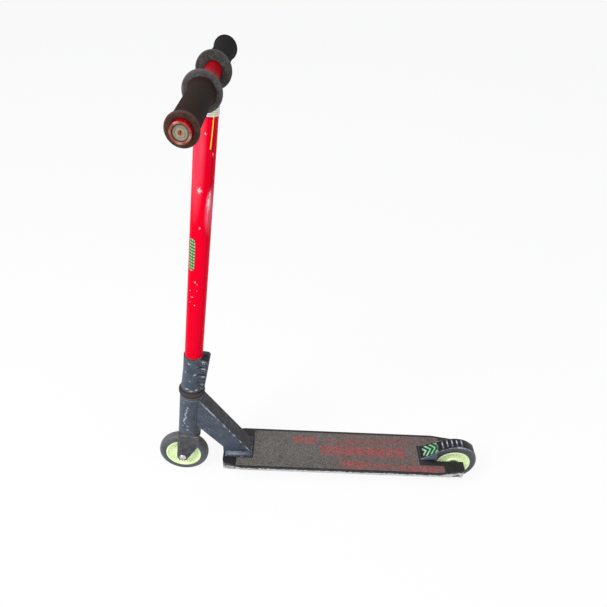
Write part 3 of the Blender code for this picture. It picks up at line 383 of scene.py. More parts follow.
    def close(self, **constants: float) -> Material:
        """Links everything to the shader.

        Args:
            constants: values of the shader's own sockets, with underscores for spaces.

        Returns:
            The finished material.
        """
        inputs = {name.replace("_", " "): value for name, value in constants.items()}
        inputs |= {"Base Color": self.colour, "Roughness": self.roughness, "Metallic": self.metallic}
        set_inputs(self.tree.nodes["Principled BSDF"], inputs | self.relief)
        return self.material


def joint_frame(name: str) -> Matrix:
    """The frame of a joint: its origin on the axis, with local Z along it.

    Args:
        name: the joint's name.

    Returns:
        The frame, whose local X lies in the scooter's mid-plane where the axis does.
    """
    joint = next(j for j in FRAME["joints"] if j["name"] == name)
    up = Vector(joint["axis"]).normalized()
    across = Vector((0, 1, 0)) if abs(up.y) < 0.5 else Vector((0, 0, -1))
    rear = across.cross(up).normalized()
    turn = Matrix((rear, up.cross(rear), up)).transposed().to_4x4()
    return Matrix.Translation(joint["pos_m"]) @ turn


STEERING = joint_frame("steering")


def local_points(node: str, frame: Matrix) -> list[Vector]:
    """A CAD node's corners in another frame."""
    inverse = frame.inverted()
    return [inverse @ v.co for v in FRAME["nodes"][node].data.vertices]


def local_box(node: str, frame: Matrix) -> tuple[Vector, Vector]:
    """The lowest and the highest corner of a CAD node's box in another frame."""
    spans = list(zip(*local_points(node, frame)))
    return Vector(map(min, spans)), Vector(map(max, spans))


def outermost_turn(node: str, frame: Matrix) -> float:
    """The angle from local X of the highest of a turned node's outermost corners, which no cut reaches."""
    corner = max(local_points(node, frame), key=lambda p: (round(p.xy.length, 5), round(p.z, 5)))
    return math.atan2(corner.y, corner.x)


def node_shape(node: str) -> Shape:
    """Copies a CAD node with its corners merged.

    Args:
        node: the node's name.

    Returns:
        The shape, to be freed.
    """
    shape = bmesh.new()
    shape.from_mesh(FRAME["nodes"][node].data)
    bmesh.ops.remove_doubles(shape, verts=shape.verts, dist=MERGE_DISTANCE)
    return shape


def new_mesh(name: str, shape: Shape) -> bpy.types.Mesh:
    """Makes a mesh of a shape, which is freed.

    Args:
        name: the mesh's name.
        shape: the shape.

    Returns:
        The mesh.
    """
    mesh = bpy.data.meshes.new(name)
    shape.to_mesh(mesh)
    shape.free()
    return mesh


def link_object(name: str, data: bpy.types.ID) -> bpy.types.Object:
    """Puts a mesh, lamp or camera in the scene.

    Args:
        name: the object's name.
        data: what it shows.

    Returns:
        The new object.
    """
    made = bpy.data.objects.new(name, data)
    bpy.context.scene.collection.objects.link(made)
    return made


def meridian(node: str, frame: Matrix) -> list[tuple[float, float]]:
    """The outline of a turned CAD node, on one half-plane through its axis.

    Args:
        node: the node's name.
        frame: its frame, with local Z along its axis.

    Returns:
        The (radius, height) points in order, from pole to pole if the node is solid at its axis.
    """
    inverse = frame.inverted()
    turn = outermost_turn(node, frame)
    shape = node_shape(node)
    here = {}
    for vert in shape.verts:
        point = inverse @ vert.co
        radius = point.xy.length
        off = math.remainder(math.atan2(point.y, point.x) - turn, math.tau)
        if radius < MERGE_DISTANCE:
            here[vert] = (0.0, point.z)
        elif abs(off) < FLAT_ANGLE:
            here[vert] = (radius, point.z)
    ends = [v for v in here if sum(e.other_vert(v) in here for e in v.link_edges) == 1]
    vert = ends[0] if ends else next(iter(here))
    profile = []
    while vert:
        profile.append(here.pop(vert))
        vert = next((e.other_vert(vert) for e in vert.link_edges if e.other_vert(vert) in here), None)
    shape.free()
    if ends:
        profile = [(0.0, profile[0][1]), *profile, (0.0, profile[-1][1])]
    return list(dict.fromkeys(profile))


def lathe(profile: Profile, segments: int) -> Shape:
    """Turns a closed outline about Z.

    Args:
        profile: (radius, height) points. A point at radius 0 closes a pole.
        segments: faces round the piece.

    Returns:
        The turned shape.
    """
    shape = bmesh.new()
    rings = []
    for radius, height in profile:
        turns = [math.tau * i / segments for i in range(segments if radius else 1)]
        rings.append([shape.verts.new((radius * math.cos(a), radius * math.sin(a), height)) for a in turns])
    for here, there in zip(rings, rings[1:] + rings[:1]):
        for i in range(segments):
            places = ((here, i), (here, i + 1), (there, i + 1), (there, i))
            corners = list(dict.fromkeys(ring[k % len(ring)] for ring, k in places))
            if len(corners) > 2:
                shape.faces.new(corners)
    return shape


def rounded(profile: Profile, radius: float, steps: int = 4) -> list[tuple[float, float]]:
    """Rounds the corners of a closed outline.

    Args:
        profile: the outline's points.
        radius: the distance from each corner at which its rounding starts.
        steps: sides along each rounding.

    Returns:
        The outline with a curve at each corner. Points at radius 0 stay as they are.
    """
    points = []
    for i, corner in enumerate(profile):
        here = Vector(corner)
        if here.x == 0:
            points.append(tuple(here))
            continue
        before = Vector(profile[i - 1]) - here
        after = Vector(profile[(i + 1) % len(profile)]) - here
        reach = min(radius, before.length * ROUNDING_SHARE, after.length * ROUNDING_SHARE)
        start = here + before.normalized() * reach
        end = here + after.normalized() * reach
        for t in (k / steps for k in range(steps + 1)):
            points.append(tuple((1 - t) ** 2 * start + 2 * t * (1 - t) * here + t * t * end))
    return points


def smooth(piece: bpy.types.Object) -> None:
    """Shades a piece smooth but for its sharp edges."""
    piece.data.shade_smooth()
    piece.data.set_sharp_from_angle(angle=SHARP_ANGLE)


def make_piece(
    name: str, shape: Shape | bpy.types.Mesh, material: Material, frame: Matrix | None = None
) -> bpy.types.Object:
    """Puts a shape in the scene as one finished piece at the origin.

    Args:
        name: the piece's name.
        shape: its geometry.
        material: its finish.
        frame: where it goes, or None if it is in place already.

    Returns:
        The new object.
    """
    if isinstance(shape, Shape):
        bmesh.ops.remove_doubles(shape, verts=shape.verts, dist=MERGE_DISTANCE)
        bmesh.ops.recalc_face_normals(shape, faces=shape.faces)
        shape = new_mesh(name, shape)
    if frame is not None:
        shape.transform(frame)
    piece = link_object(name, shape)
    smooth(piece)
    shape.materials.clear()
    shape.materials.append(material)
    return piece


def dress(piece: bpy.types.Object, body: Body, replaces: Sequence[str] = ()) -> None:
    """Ties a finished piece to its body and the nodes that it stands for.

    Args:
        piece: the piece.
        body: the body that it moves with.
        replaces: CAD nodes that it stands for.
    """
    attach(piece, body.value)
    if replaces:
        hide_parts(*replaces)
    LOG.info("%s rides on %s, %d faces", piece.name, body.value, len(piece.data.polygons))


def bake_modifiers(piece: bpy.types.Object) -> None:
    """Turns a piece's modifiers into its plain mesh.

    Args:
        piece: the piece.
    """
    graph = bpy.context.evaluated_depsgraph_get()
    mesh = bpy.data.meshes.new_from_object(piece.evaluated_get(graph))
    piece.modifiers.clear()
    old, piece.data = piece.data, mesh
    bpy.data.meshes.remove(old)


def refined(node: str, name: str, material: Material, rounding: float, body: Body) -> None:
    """Adds a copy of a CAD node with its sharp edges rounded, and marks the rounded faces.

    Args:
        node: the node that the piece stands for.
        name: the new piece's name.
        material: its finish.
        rounding: the width of the rounding.
        body: the body that it moves with.
    """
    shape = node_shape(node)
    bmesh.ops.dissolve_limit(shape, angle_limit=FLAT_ANGLE, verts=shape.verts, edges=shape.edges)
    worn = shape.faces.layers.float.new(EDGE_LAYER)
    sharp = [e for e in shape.edges if e.is_manifold and e.calc_face_angle() > SHARP_ANGLE]
    kind = {"segments": BEVEL_STEPS, "profile": 0.5, "affect": "EDGES", "clamp_overlap": True}
    made = bmesh.ops.bevel(shape, geom=sharp, offset=rounding, **kind)
    for face in made["faces"]:
        face[worn] = 1.0
    bmesh.ops.remove_doubles(shape, verts=shape.verts, dist=MERGE_DISTANCE)
    piece = make_piece(name, new_mesh(name, shape), material)
    piece.modifiers.new("even_normals", "WEIGHTED_NORMAL").keep_sharp = True
    bake_modifiers(piece)
    dress(piece, body, [node])


@dataclass(frozen=True)
class Turning:
    """How turned pieces of one body are made: their frame, with local Z along their axis."""

    frame: Matrix
    body: Body
    slot: str
    segments: int = 112

    def add(self, node: str, name: str, material: Material, rounding: float) -> None:
        """Turns a CAD node's own outline again, finer and with rounded corners.

        Args:
            node: the node that the piece stands for, which is a plain turned one.
            name: the new piece's name.
            material: its finish.
            rounding: the distance from each corner at which its rounding starts.
        """
        shape = lathe(rounded(meridian(node, self.frame), rounding), self.segments)
        dress(make_piece(name, shape, material, self.frame), self.body, [node])


class Growth(Graph):
    """A Geometry Nodes tree under construction, with its sizes as named inputs."""

    KINDS = {int: "Int", float: "Float", tuple: "Vector", Material: "Material"}

    def __init__(self, name: str, **values: object) -> None:
        """Starts the tree.

        Args:
            name: the tree's name.
            values: the value of each named input, Material among them.
        """
        super().__init__(bpy.data.node_groups.new(name, "GeometryNodeTree"))
        interface = self.tree.interface
        for way in ("INPUT", "OUTPUT"):
            interface.new_socket("Geometry", in_out=way, socket_type="NodeSocketGeometry")
        self.values = {}
        for label, value in values.items():
            kind = next(kind for sort, kind in self.KINDS.items() if isinstance(value, sort))
            socket = interface.new_socket(label, in_out="INPUT", socket_type="NodeSocket" + kind)
            self.values[socket.identifier] = value
        self.inputs = {s.name: s for s in add_node(self.tree, "NodeGroupInput").outputs if s.name}

    def grow(self, piece: bpy.types.Object, geometry: Socket) -> None:
        """Ends the tree in real geometry with its material, runs it on a piece and keeps the plain mesh.

        Args:
            piece: the piece.
            geometry: what the tree has made.
        """
        real = self.add("GeometryNodeRealizeInstances", {"Geometry": geometry})
        finish = {"Geometry": real, "Material": self.inputs["Material"]}
        last = self.add("GeometryNodeSetMaterial", finish)
        add_node(self.tree, "NodeGroupOutput", {"Geometry": last})
        modifier = piece.modifiers.new(self.tree.name, "NODES")
        modifier.node_group = self.tree
        for identifier, value in self.values.items():
            modifier[identifier] = value
        piece.update_tag()
        bpy.context.view_layer.update()
        bake_modifiers(piece)


@dataclass(frozen=True)
class RedPowderCoat:
    """Glossy red powder coat on steel tube: rich red with milky rubbed patches, a painted highlight band,
    painted shade down one side, pale chips and bare ends.
    """

    name: str
    frame: Matrix
    colours: tuple[str, str]
    chips: Sequence[Mark] = ()
    haze_and_highlight: Sequence[Mark] = ()
    painted_shade: Sequence[Mark] = ()
    bare: Sequence[tuple[float, float]] = ()

    def build(self) -> Material:
        """Makes the material in the tube's frame.

        Returns:
            The material.
        """
        bright, deep = self.colours
        surface = Surface(self.name, Coat(bright, 0.3), self.frame)
        surface.stain(Grain(70, 0.5, 0.25, 1.0), Coat(deep, 0.34), 0.5)
        # Painted shade: a deeper red down the side of the tube that turns away from the light.
        for mark in self.painted_shade:
            surface.cover(surface.spot(mark, 0.4), Coat("#A80018", 0.34), 0.8)
        # Pale pink patches: the tube's first such mark is a painted highlight band, the second a milky rubbed
        # patch.
        for mark in self.haze_and_highlight:
            sheen_and_haze_patches = Grain(16, 0.65, 0.3, 9.0, (1, 1, 4))
            surface.stain(sheen_and_haze_patches, Coat("#F0829A", 0.4), 0.8, surface.spot(mark, 0.35))
        regions = surface.grain(Grain(45, 0.4, 0.05, 5.0))
        surface.stain(Grain(1.6, 0.03, 0.02, 4.0), Coat("#E9B4B8", 0.6), 0.5, regions)
        for mark in self.chips:
            surface.dent(surface.spot(mark, 0.25, 1.6), Coat("#EBD3D2", 0.55), 0.85, 0.12)
        for low, high in self.bare:
            ring = surface.band(Axis.Z, low, high, 0.3 * MM, 0.5)
            surface.cover(ring, Coat("#8F4A3C", 0.45, 0.2), 0.95)
            surface.stain(Grain(9, 0.3, 0.08, 6.0), Coat("#DCC8BE", 0.35, 0.5), 0.55, ring)
        surface.emboss(surface.grain(Grain(1.1, 0.5, 0.3, 8.0)), 0.01)
        return surface.close(Coat_Weight=0.03, Coat_Roughness=0.08, Specular_IOR_Level=0.015)


@dataclass(frozen=True)
class SlatePowderCoat:
    """Satin slate powder coat on aluminium: brown dust on what faces up, chips and edges rubbed pale, and
    painted shade in grooves and seams.
    """

    name: str
    frame: Matrix | None = None
    scuffs: Sequence[Mark] = ()
    dust: float = 0.7
    dust_way: Triple = (0.25, 0.0, 0.97)
    chip_cover: float = 0.03
    edge_cover: float = 0.45
    rings: Rings = ()
    painted_groove_shade: Sequence[Mark] = ()

    def build(self) -> Material:
        """Makes the material.

        Returns:
            The material.
        """
        surface = Surface(self.name, Coat(Shade.SLATE.value, 0.42), self.frame)
        surface.stain(Grain(22, 0.5, 0.15, 1.0), Coat(Shade.SLATE_DARK.value, 0.5), 0.8)
        settled = surface.facing(self.dust_way, 0.75, 0.92)
        surface.cover(settled, Coat(Shade.DUST.value, 0.85), self.dust)
        regions = surface.grain(Grain(14, 0.5, 0.1, 3.0))
        surface.stain(Grain(2.4, 0.4, 0.08, 2.0), Coat(Shade.SLATE_LIGHT.value, 0.5), 0.45, regions)
        chipped = Coat(Shade.CHIP.value, 0.5, 0.4)
        regions = surface.grain(Grain(11, 0.18, 0.06, 5.0))
        surface.stain(Grain(1.6, 0.15, 0.03, 4.0), chipped, 0.65, regions)
        surface.stain(Grain(1.4, self.chip_cover / 2, 0.02, 6.0), chipped, 0.8)
        # Pale dented scuffs; on the neck, the first one is a painted highlight on its ledge.
        for mark in self.scuffs:
            surface.dent(surface.spot(mark, 0.4, 1.3), Coat("#CBCED6", 0.5, 0.2), 0.85, 0.12)
        # Painted shade: near-black marks, sunk a little, for the shade in slits and seams.
        for mark in self.painted_groove_shade:
            surface.dent(surface.spot(mark, 0.2), Coat("#0C0D10", 0.8), 0.9, 0.4)
        for low, high, colour in self.rings:
            ring = surface.band(Axis.Z, low, high, 0.5 * MM, 0.6)
            surface.stain(Grain(7, 0.75, 0.2), Coat(colour, 0.7), 0.8, ring)
        surface.wear(Grain(5, self.edge_cover, 0.1, 9.0), Coat("#C6CAD2", 0.45, 0.2), 0.85)
        surface.emboss(surface.grain(Grain(0.9, 0.5, 0.3, 8.0)), 0.02)
        return surface.close(Specular_IOR_Level=0.35)


@dataclass(frozen=True)
class WornForkPaint:
    """Black paint on steel plate, rubbed to brownish grey along its edges, with one pale line on top."""

    frame: Matrix
    corner: Vector
    rim: float = 4.5 * MM

    def build(self) -> Material:
        """Makes the material in the steering frame.

        Returns:
            The material.
        """
        half_width, side, top = self.corner
        surface = Surface("black_fork_paint_worn", Coat("#2B2D33", 0.5), self.frame)
        surface.stain(Grain(11, 0.5, 0.1, 1.0), Coat("#47484C", 0.6), 0.85)
        front = surface.band(Axis.X, -FAR, -half_width + self.rim, 1.5 * MM, 2)
        rear = surface.band(Axis.X, half_width - self.rim, FAR, 1.5 * MM, 2)
        edges = surface.calc("MAXIMUM", front, rear)
        surface.stain(Grain(4, 0.5, 0.15, 2.0), Coat("#6B6664", 0.65), 0.6, edges)
        line = Mark((0, side, top), (half_width, 5 * MM, 2.2 * MM))
        surface.cover(surface.spot(line, 0.3, 1.0), Coat("#B9B5B2", 0.6), 0.8)
        dusty = Mark((0.4 * half_width, side, top - 14 * MM), mm(9, 5, 14))
        surface.cover(surface.spot(dusty, 0.6, 5), Coat("#65615F", 0.7), 0.6)
        surface.cover(surface.facing((1, 0, 0.1), 0.5, 0.9), Coat("#3C2A20", 0.8), 0.8)
        surface.wear(Grain(5, 0.6, 0.1, 3.0), Coat("#BDB4AF", 0.4, 0.5))
        surface.emboss(surface.grain(Grain(1.2, 0.5, 0.3, 5.0)), 0.03)
        return surface.close(Specular_IOR_Level=0.35)


@dataclass(frozen=True)
class DustyRubber:
    """Moulded black rubber, matt with brown dust rubbed into it, and greyer where hands don't reach."""

    name: str
    colour: str
    dust: str
    dust_cover: float
    frame: Matrix | None = None
    roughness: float = 0.72
    bands: Rings = ()

    def build(self) -> Material:
        """Makes the material.

        Returns:
            The material.
        """
        surface = Surface(self.name, Coat(self.colour, self.roughness), self.frame)
        surface.stain(Grain(26, self.dust_cover, 0.2, 1.0), Coat(self.dust, 0.88), 0.8)
        surface.stain(Grain(2.2, 0.3, 0.12, 2.0), Coat(self.dust, 0.9), 0.3)
        for low, high, colour in self.bands:
            band = surface.band(Axis.Z, low, high, 1.5 * MM, 1.0)
            surface.cover(band, Coat(colour, 0.85), 0.7)
            surface.stain(Grain(12, 0.5, 0.2, 6.0), Coat(colour, 0.85), 0.6, band)
        surface.wear(Grain(4, 0.4, 0.1, 3.0), Coat("#8B837C", 0.8), 0.6)
        surface.emboss(surface.grain(Grain(0.8, 0.5, 0.3, 4.0)), 0.05)
        return surface.close(Specular_IOR_Level=0.12)


@dataclass(frozen=True)
class CastUrethane:
    """Cast dark grey urethane tyre: a satin skin, with brown dirt towards the tread."""

    name: str
    colour: str
    frame: Matrix
    tread_radius: float

    def build(self) -> Material:
        """Makes the material in the wheel's frame.

        Returns:
            The material.
        """
        surface = Surface(self.name, Coat(self.colour, 0.36), self.frame)
        surface.stain(Grain(18, 0.5, 0.15, 1.0), Coat("#32343C", 0.45), 0.6)
        tread = surface.ramp(surface.distance(), self.tread_radius - 5 * MM, self.tread_radius)
        surface.stain(Grain(7, 0.75, 0.15, 2.0), Coat("#70645C", 0.85), 0.8, tread)
        surface.stain(Grain(1.7, 0.06, 0.03, 3.0), Coat("#7D7468", 0.8), 0.8)
        surface.emboss(surface.grain(Grain(1.0, 0.5, 0.25, 4.0)), 0.04)
        return surface.close()


@dataclass(frozen=True)
class MouldedNylon:
    """Pale lime nylon core, satin from its mould, with grime at the hub, and its slot walls darkened with
    grime and painted shade.
    """

    name: str
    frame: Matrix
    hub_radius: float

    def build(self) -> Material:
        """Makes the material in the wheel's frame.

        Returns:
            The material.
        """
        surface = Surface(self.name, Coat("#EFFFCA", 0.42), self.frame)
        surface.stain(Grain(12, 0.5, 0.2, 1.0), Coat("#E2FBB0", 0.45), 0.6)
        surface.stain(Grain(2.5, 0.12, 0.05, 2.0), Coat("#BCD48C", 0.6), 0.25)
        hub = surface.ramp(surface.distance(), self.hub_radius + 4 * MM, self.hub_radius - 1 * MM)
        surface.stain(Grain(5, 0.5, 0.2), Coat("#8DA35A", 0.7), 0.6, hub)
        # Grime and painted shade: the slot walls are darkened to show the shade inside the slots.
        surface.cover(surface.layer(DARKENING_LAYER), Coat("#7E9550", 0.9), 0.4)
        return surface.close(Specular_IOR_Level=0.35)


@dataclass(frozen=True)
class GritSheet:
    """Abrasive sheet: dark grit filled with grey-brown dust, with rows of worn red blocks printed on it."""

    rows: Places
    pitch: float = 21 * MM

    def build(self) -> Material:
        """Makes the material. Grit of 0.6 mm is drawn at 1.4 mm, because it wouldn't show otherwise.

        Returns:
            The material.
        """
        surface = Surface("grit_sheet_dusty", Coat("#5F5D5C", 0.95))
        surface.stain(Grain(60, 0.5, 0.2, 1.0), Coat("#6C655F", 0.95), 0.9)
        surface.cover(surface.band(Axis.Y, -FAR, -20 * MM, 14 * MM, 6), Coat("#56544F", 0.95), 0.5)
        surface.stain(Grain(9, 0.4, 0.15, 10.0), Coat("#7F7974", 0.95), 0.3)
        surface.stain(Grain(8, 0.35, 0.15, 11.0), Coat("#45413F", 0.95), 0.35)
        rear = surface.band(Axis.X, 30 * MM, FAR, 30 * MM)
        surface.stain(Grain(30, 0.6, 0.3, 9.0), Coat("#85524F", 0.95), 0.5, rear)
        blocks = surface.waves(surface.part(Axis.X), self.pitch, 0.72)
        for left, right, low, high, strength in self.rows:
            along = surface.band(Axis.X, left, right, 3 * MM, 2)
            row = surface.product(along, surface.band(Axis.Y, low, high, 1.5 * MM, 1.5))
            surface.stain(Grain(9, 0.7, 0.25, 8.0), Coat("#984A4C", 0.9), 0.65, row)
            surface.stain(Grain(5, 0.7, 0.2, 2.0), Coat("#B9434A", 0.9), strength, row, blocks)
        surface.stain(Grain(2.6, 0.4, 0.08, 3.0), Coat("#9A938C", 0.95), 0.4)
        surface.stain(Grain(2.2, 0.35, 0.08, 4.0), Coat("#2E2B2A", 0.9), 0.45)
        surface.stain(Grain(1.9, 0.02, 0.02, 5.0), Coat("#D0CBC3", 0.9), 0.6)
        surface.emboss(surface.grain(Grain(0.9, 0.5, 0.1, 6.0)), 0.2)
        return surface.close(Specular_IOR_Level=0.2)


@dataclass(frozen=True)
class WornDeckPaint:
    """Black paint on extruded aluminium, scraped to bright metal along its lower edge and at its tail."""

    low: Vector
    high: Vector
    paint_depth: float = 4.5 * MM

    def build(self) -> Material:
        """Makes the material.

        Returns:
            The material.
        """
        surface = Surface("black_deck_paint_worn", Coat("#19191B", 0.45))
        surface.stain(Grain(14, 0.4, 0.15, 1.0), Coat("#332E2B", 0.7), 0.6)
        top = self.high.z
        scraped = surface.band(Axis.Z, -FAR, top - self.paint_depth, 0.5 * MM, 1.6)
        rail = Mark((self.high.x - 12 * MM, self.low.y, top - 6 * MM), mm(22, 7, 8))
        bare = surface.calc("MAXIMUM", scraped, surface.spot(rail, 0.3, 2.5))
        surface.cover(bare, Coat(Shade.ALUMINIUM.value, 0.34, 0.6))
        surface.stain(Grain(9, 0.35, 0.12, 2.0, (3, 1, 1)), Coat("#9A8C7E", 0.6, 0.3), 0.5, bare)
        surface.stain(Grain(2.4, 0.12, 0.04, 3.0), Coat("#33312F", 0.7), 0.8, bare)
        nose = Mark((self.low.x, 0, top - 6 * MM), (34 * MM, FAR, 13 * MM))
        surface.cover(surface.spot(nose, 0.2, 2.5), Coat("#202125", 0.5), 0.9)
        surface.wear(Grain(6, 0.4, 0.1, 4.0), Coat(Shade.ALUMINIUM.value, 0.35, 0.8), 0.8)
        surface.emboss(surface.grain(Grain(1.4, 0.5, 0.25, 5.0, (4, 1, 1))), 0.03)
        return surface.close(Specular_IOR_Level=0.35)


@dataclass(frozen=True)
class MouldedBlackPlastic:
    """Glossy black moulded nylon, with painted highlights along its near edges and rib tops, its rounded
    edges rubbed pale and partly painted as highlights, and green chevrons on its ramp.
    """

    foot: tuple[Vector, Vector]
    hood: tuple[Vector, Vector]
    axle: Vector
    outer: float
    pitch: float = 8.5 * MM
    slant: float = 0.7

    def build(self) -> Material:
        """Makes the material.

        Returns:
            The material.
        """
        (start, side, _), (end, inside, _) = self.foot
        hood_start, hood_side, _ = self.hood[0]
        crest = self.axle.x - 2 * MM
        surface = Surface("black_brake_plastic_gloss", Coat("#0B0C0E", 0.26))
        surface.stain(Grain(15, 0.4, 0.15, 1.0), Coat("#15181C", 0.35), 0.6)
        # Painted reflection: the walls that face the near side are lifted, the foot's to a bluish grey.
        near_wall_sheen = surface.facing((0, -1, 0.1), 0.8, 0.97)
        surface.cover(near_wall_sheen, Coat("#191B20", 0.4), 0.7)
        block = surface.band(Axis.X, -FAR, end, 2 * MM, 2.0)
        surface.cover(surface.product(near_wall_sheen, block), Coat("#6C7888", 0.4), 0.8)
        # Painted highlights along the foot's near edge and the hood's near shoulder.
        self.paint_highlight_strip(surface, start, end, side + 1.7 * MM, "#BCC4D2")
        self.paint_highlight_strip(surface, hood_start, crest, hood_side + 2.4 * MM, "#565D69")
        self.paint_highlight_strip(surface, crest, FAR, hood_side + 3.6 * MM, "#B4B9C4")
        # Painted highlights: pale ticks on the near part of the rib tops behind the foot.
        away = surface.distance(self.axle, (1, 0, 1))
        ribs = surface.ramp(away, self.outer - 0.9 * MM, self.outer - 0.5 * MM)
        near = surface.band(Axis.Y, -3.5 * MM, 5 * MM, 2.5 * MM)
        behind = surface.band(Axis.X, end, FAR, 1 * MM)
        surface.stain(Grain(4, 0.8, 0.1, 8.0), Coat("#D5D8DE", 0.4), 0.9, ribs, near, behind)
        along = surface.band(Axis.X, start + 6 * MM, end - 1.5 * MM, 0.5 * MM, 0.6)
        across = surface.band(Axis.Y, 4 * MM - inside, inside - 4 * MM, 0.5 * MM, 0.6)
        ground = surface.product(along, across, surface.facing((-0.55, 0.0, 0.83), 0.9, 0.96))
        surface.cover(ground, Coat("#123A1E", 0.35))
        middle = surface.calc("ABSOLUTE", surface.part(Axis.Y))
        arrow = surface.calc("MULTIPLY_ADD", middle, self.slant, surface.part(Axis.X))
        chevrons = surface.product(ground, surface.waves(arrow, self.pitch, 0.42))
        surface.cover(chevrons, Coat("#8FD8A2", 0.4), 0.9)
        faded = surface.product(chevrons, surface.band(Axis.X, -FAR, start + 12 * MM, 9 * MM))
        surface.cover(faded, Coat("#D6E8DA", 0.4), 0.8)
        surface.stain(Grain(3, 0.15, 0.08, 5.0), Coat("#1A1C20", 0.4), 0.8, ground)
        surface.stain(Grain(2.0, 0.04, 0.03, 2.0), Coat("#6B6B70", 0.6), 0.5)
        # Rounded edges rubbed pale: partly wear, partly painted highlight.
        surface.wear(Grain(4, 0.75, 0.1, 3.0), Coat("#C3C9D6", 0.35), 0.85)
        return surface.close(Specular_IOR_Level=0.25)

    def paint_highlight_strip(self, surface: Surface, start: float, end: float, inner: float, colour: str) -> None:
        """Paints a pale highlight strip along the near edge, except where it faces sideways.

        Args:
            surface: the finish.
            start: the strip's front end.
            end: its rear end.
            inner: its inner side's place across.
            colour: its sRGB colour.
        """
        along = surface.band(Axis.X, start, end, 2 * MM, 1.5)
        across = surface.band(Axis.Y, -FAR, inner, 0.5 * MM, 0.5)
        upward = surface.facing((0, 1, 0), -0.96, -0.8)
        surface.stain(Grain(9, 0.55, 0.15, 7.0), Coat(colour, 0.35), 0.85, along, across, upward)


@dataclass(frozen=True)
class PlatedSteel:
    """Zinc-plated, ground or blackened steel with faint stains, its edges rubbed bright."""

    name: str
    colour: str = "#C4C6CA"
    stain: str = "#8E8B86"
    roughness: float = 0.28

    def build(self) -> Material:
        """Makes the material.

        Returns:
            The material.
        """
        surface = Surface(self.name, Coat(self.colour, self.roughness, 1.0))
        surface.stain(Grain(3, 0.3, 0.15, 1.0), Coat(self.stain, 0.5, 0.8), 0.5)
        surface.wear(Grain(2.5, 0.3, 0.1, 2.0), Coat("#D8DADF", 0.3, 1.0), 0.8)
        return surface.close()


@dataclass(frozen=True)
class DyedPlastic:
    """Plain moulded plastic in one colour, slightly soiled."""

    name: str
    colour: str
    soil: str
    roughness: float = 0.45

    def build(self) -> Material:
        """Makes the material.

        Returns:
            The material.
        """
        surface = Surface(self.name, Coat(self.colour, self.roughness))
        surface.stain(Grain(3, 0.35, 0.15, 1.0), Coat(self.soil, 0.7), 0.5)
        return surface.close()


@dataclass(frozen=True)
class MouldedPlug:
    """Greenish grey plastic plug, with a dark ring near its rim and a rusty screw mark with a slot in its
    middle.
    """

    name: str
    frame: Matrix
    mark_radius: float
    rim_radius: float

    def build(self) -> Material:
        """Makes the material in the crossbar's frame.

        Returns:
            The material.
        """
        surface = Surface(self.name, Coat("#85856F", 0.5), self.frame)
        surface.stain(Grain(2.5, 0.4, 0.15, 1.0), Coat("#A39C84", 0.6), 0.6)
        away = surface.distance()
        # A dark ring just inside the rim.
        darkening = surface.ramp(away, self.rim_radius - 2.0 * MM, self.rim_radius - 0.5 * MM)
        surface.cover(darkening, Coat("#3A3029", 0.8), 0.85)
        rust = surface.ramp(away, 1.7 * self.mark_radius, self.mark_radius)
        surface.cover(rust, Coat("#A9583A", 0.7), 0.9)
        slot = surface.band(Axis.X, -0.45 * MM, 0.45 * MM, 0.15 * MM)
        head = surface.ramp(away, 1.1 * self.mark_radius, self.mark_radius)
        surface.cover(surface.product(slot, head), Coat("#1F1512", 0.9), 0.9)
        return surface.close()


@dataclass(frozen=True)
class PrintedFilm:
    """Thin printed film wrapped round the bar: broken ruled lines, or a grid of small squares."""

    name: str
    ground: str
    ink: str
    radius: float
    line: float
    gap: float

    def build(self) -> Material:
        """Makes the material in the steering frame, unrolled from the tube.

        Returns:
            The material.
        """
        surface = Surface(self.name, Coat(self.ground, 0.4), STEERING)
        surface.unroll(self.radius)
        rows = surface.waves(surface.part(Axis.Z), 2 * self.line, 0.45)
        pitch = self.line + self.gap
        columns = surface.waves(surface.part(Axis.X), pitch, self.line / pitch)
        surface.cover(surface.product(rows, columns), Coat(self.ink, 0.5), 0.9)
        surface.stain(Grain(4, 0.25, 0.12, 2.0), Coat("#8C8A84", 0.7), 0.35)
        return surface.close(Specular_IOR_Level=0.35)


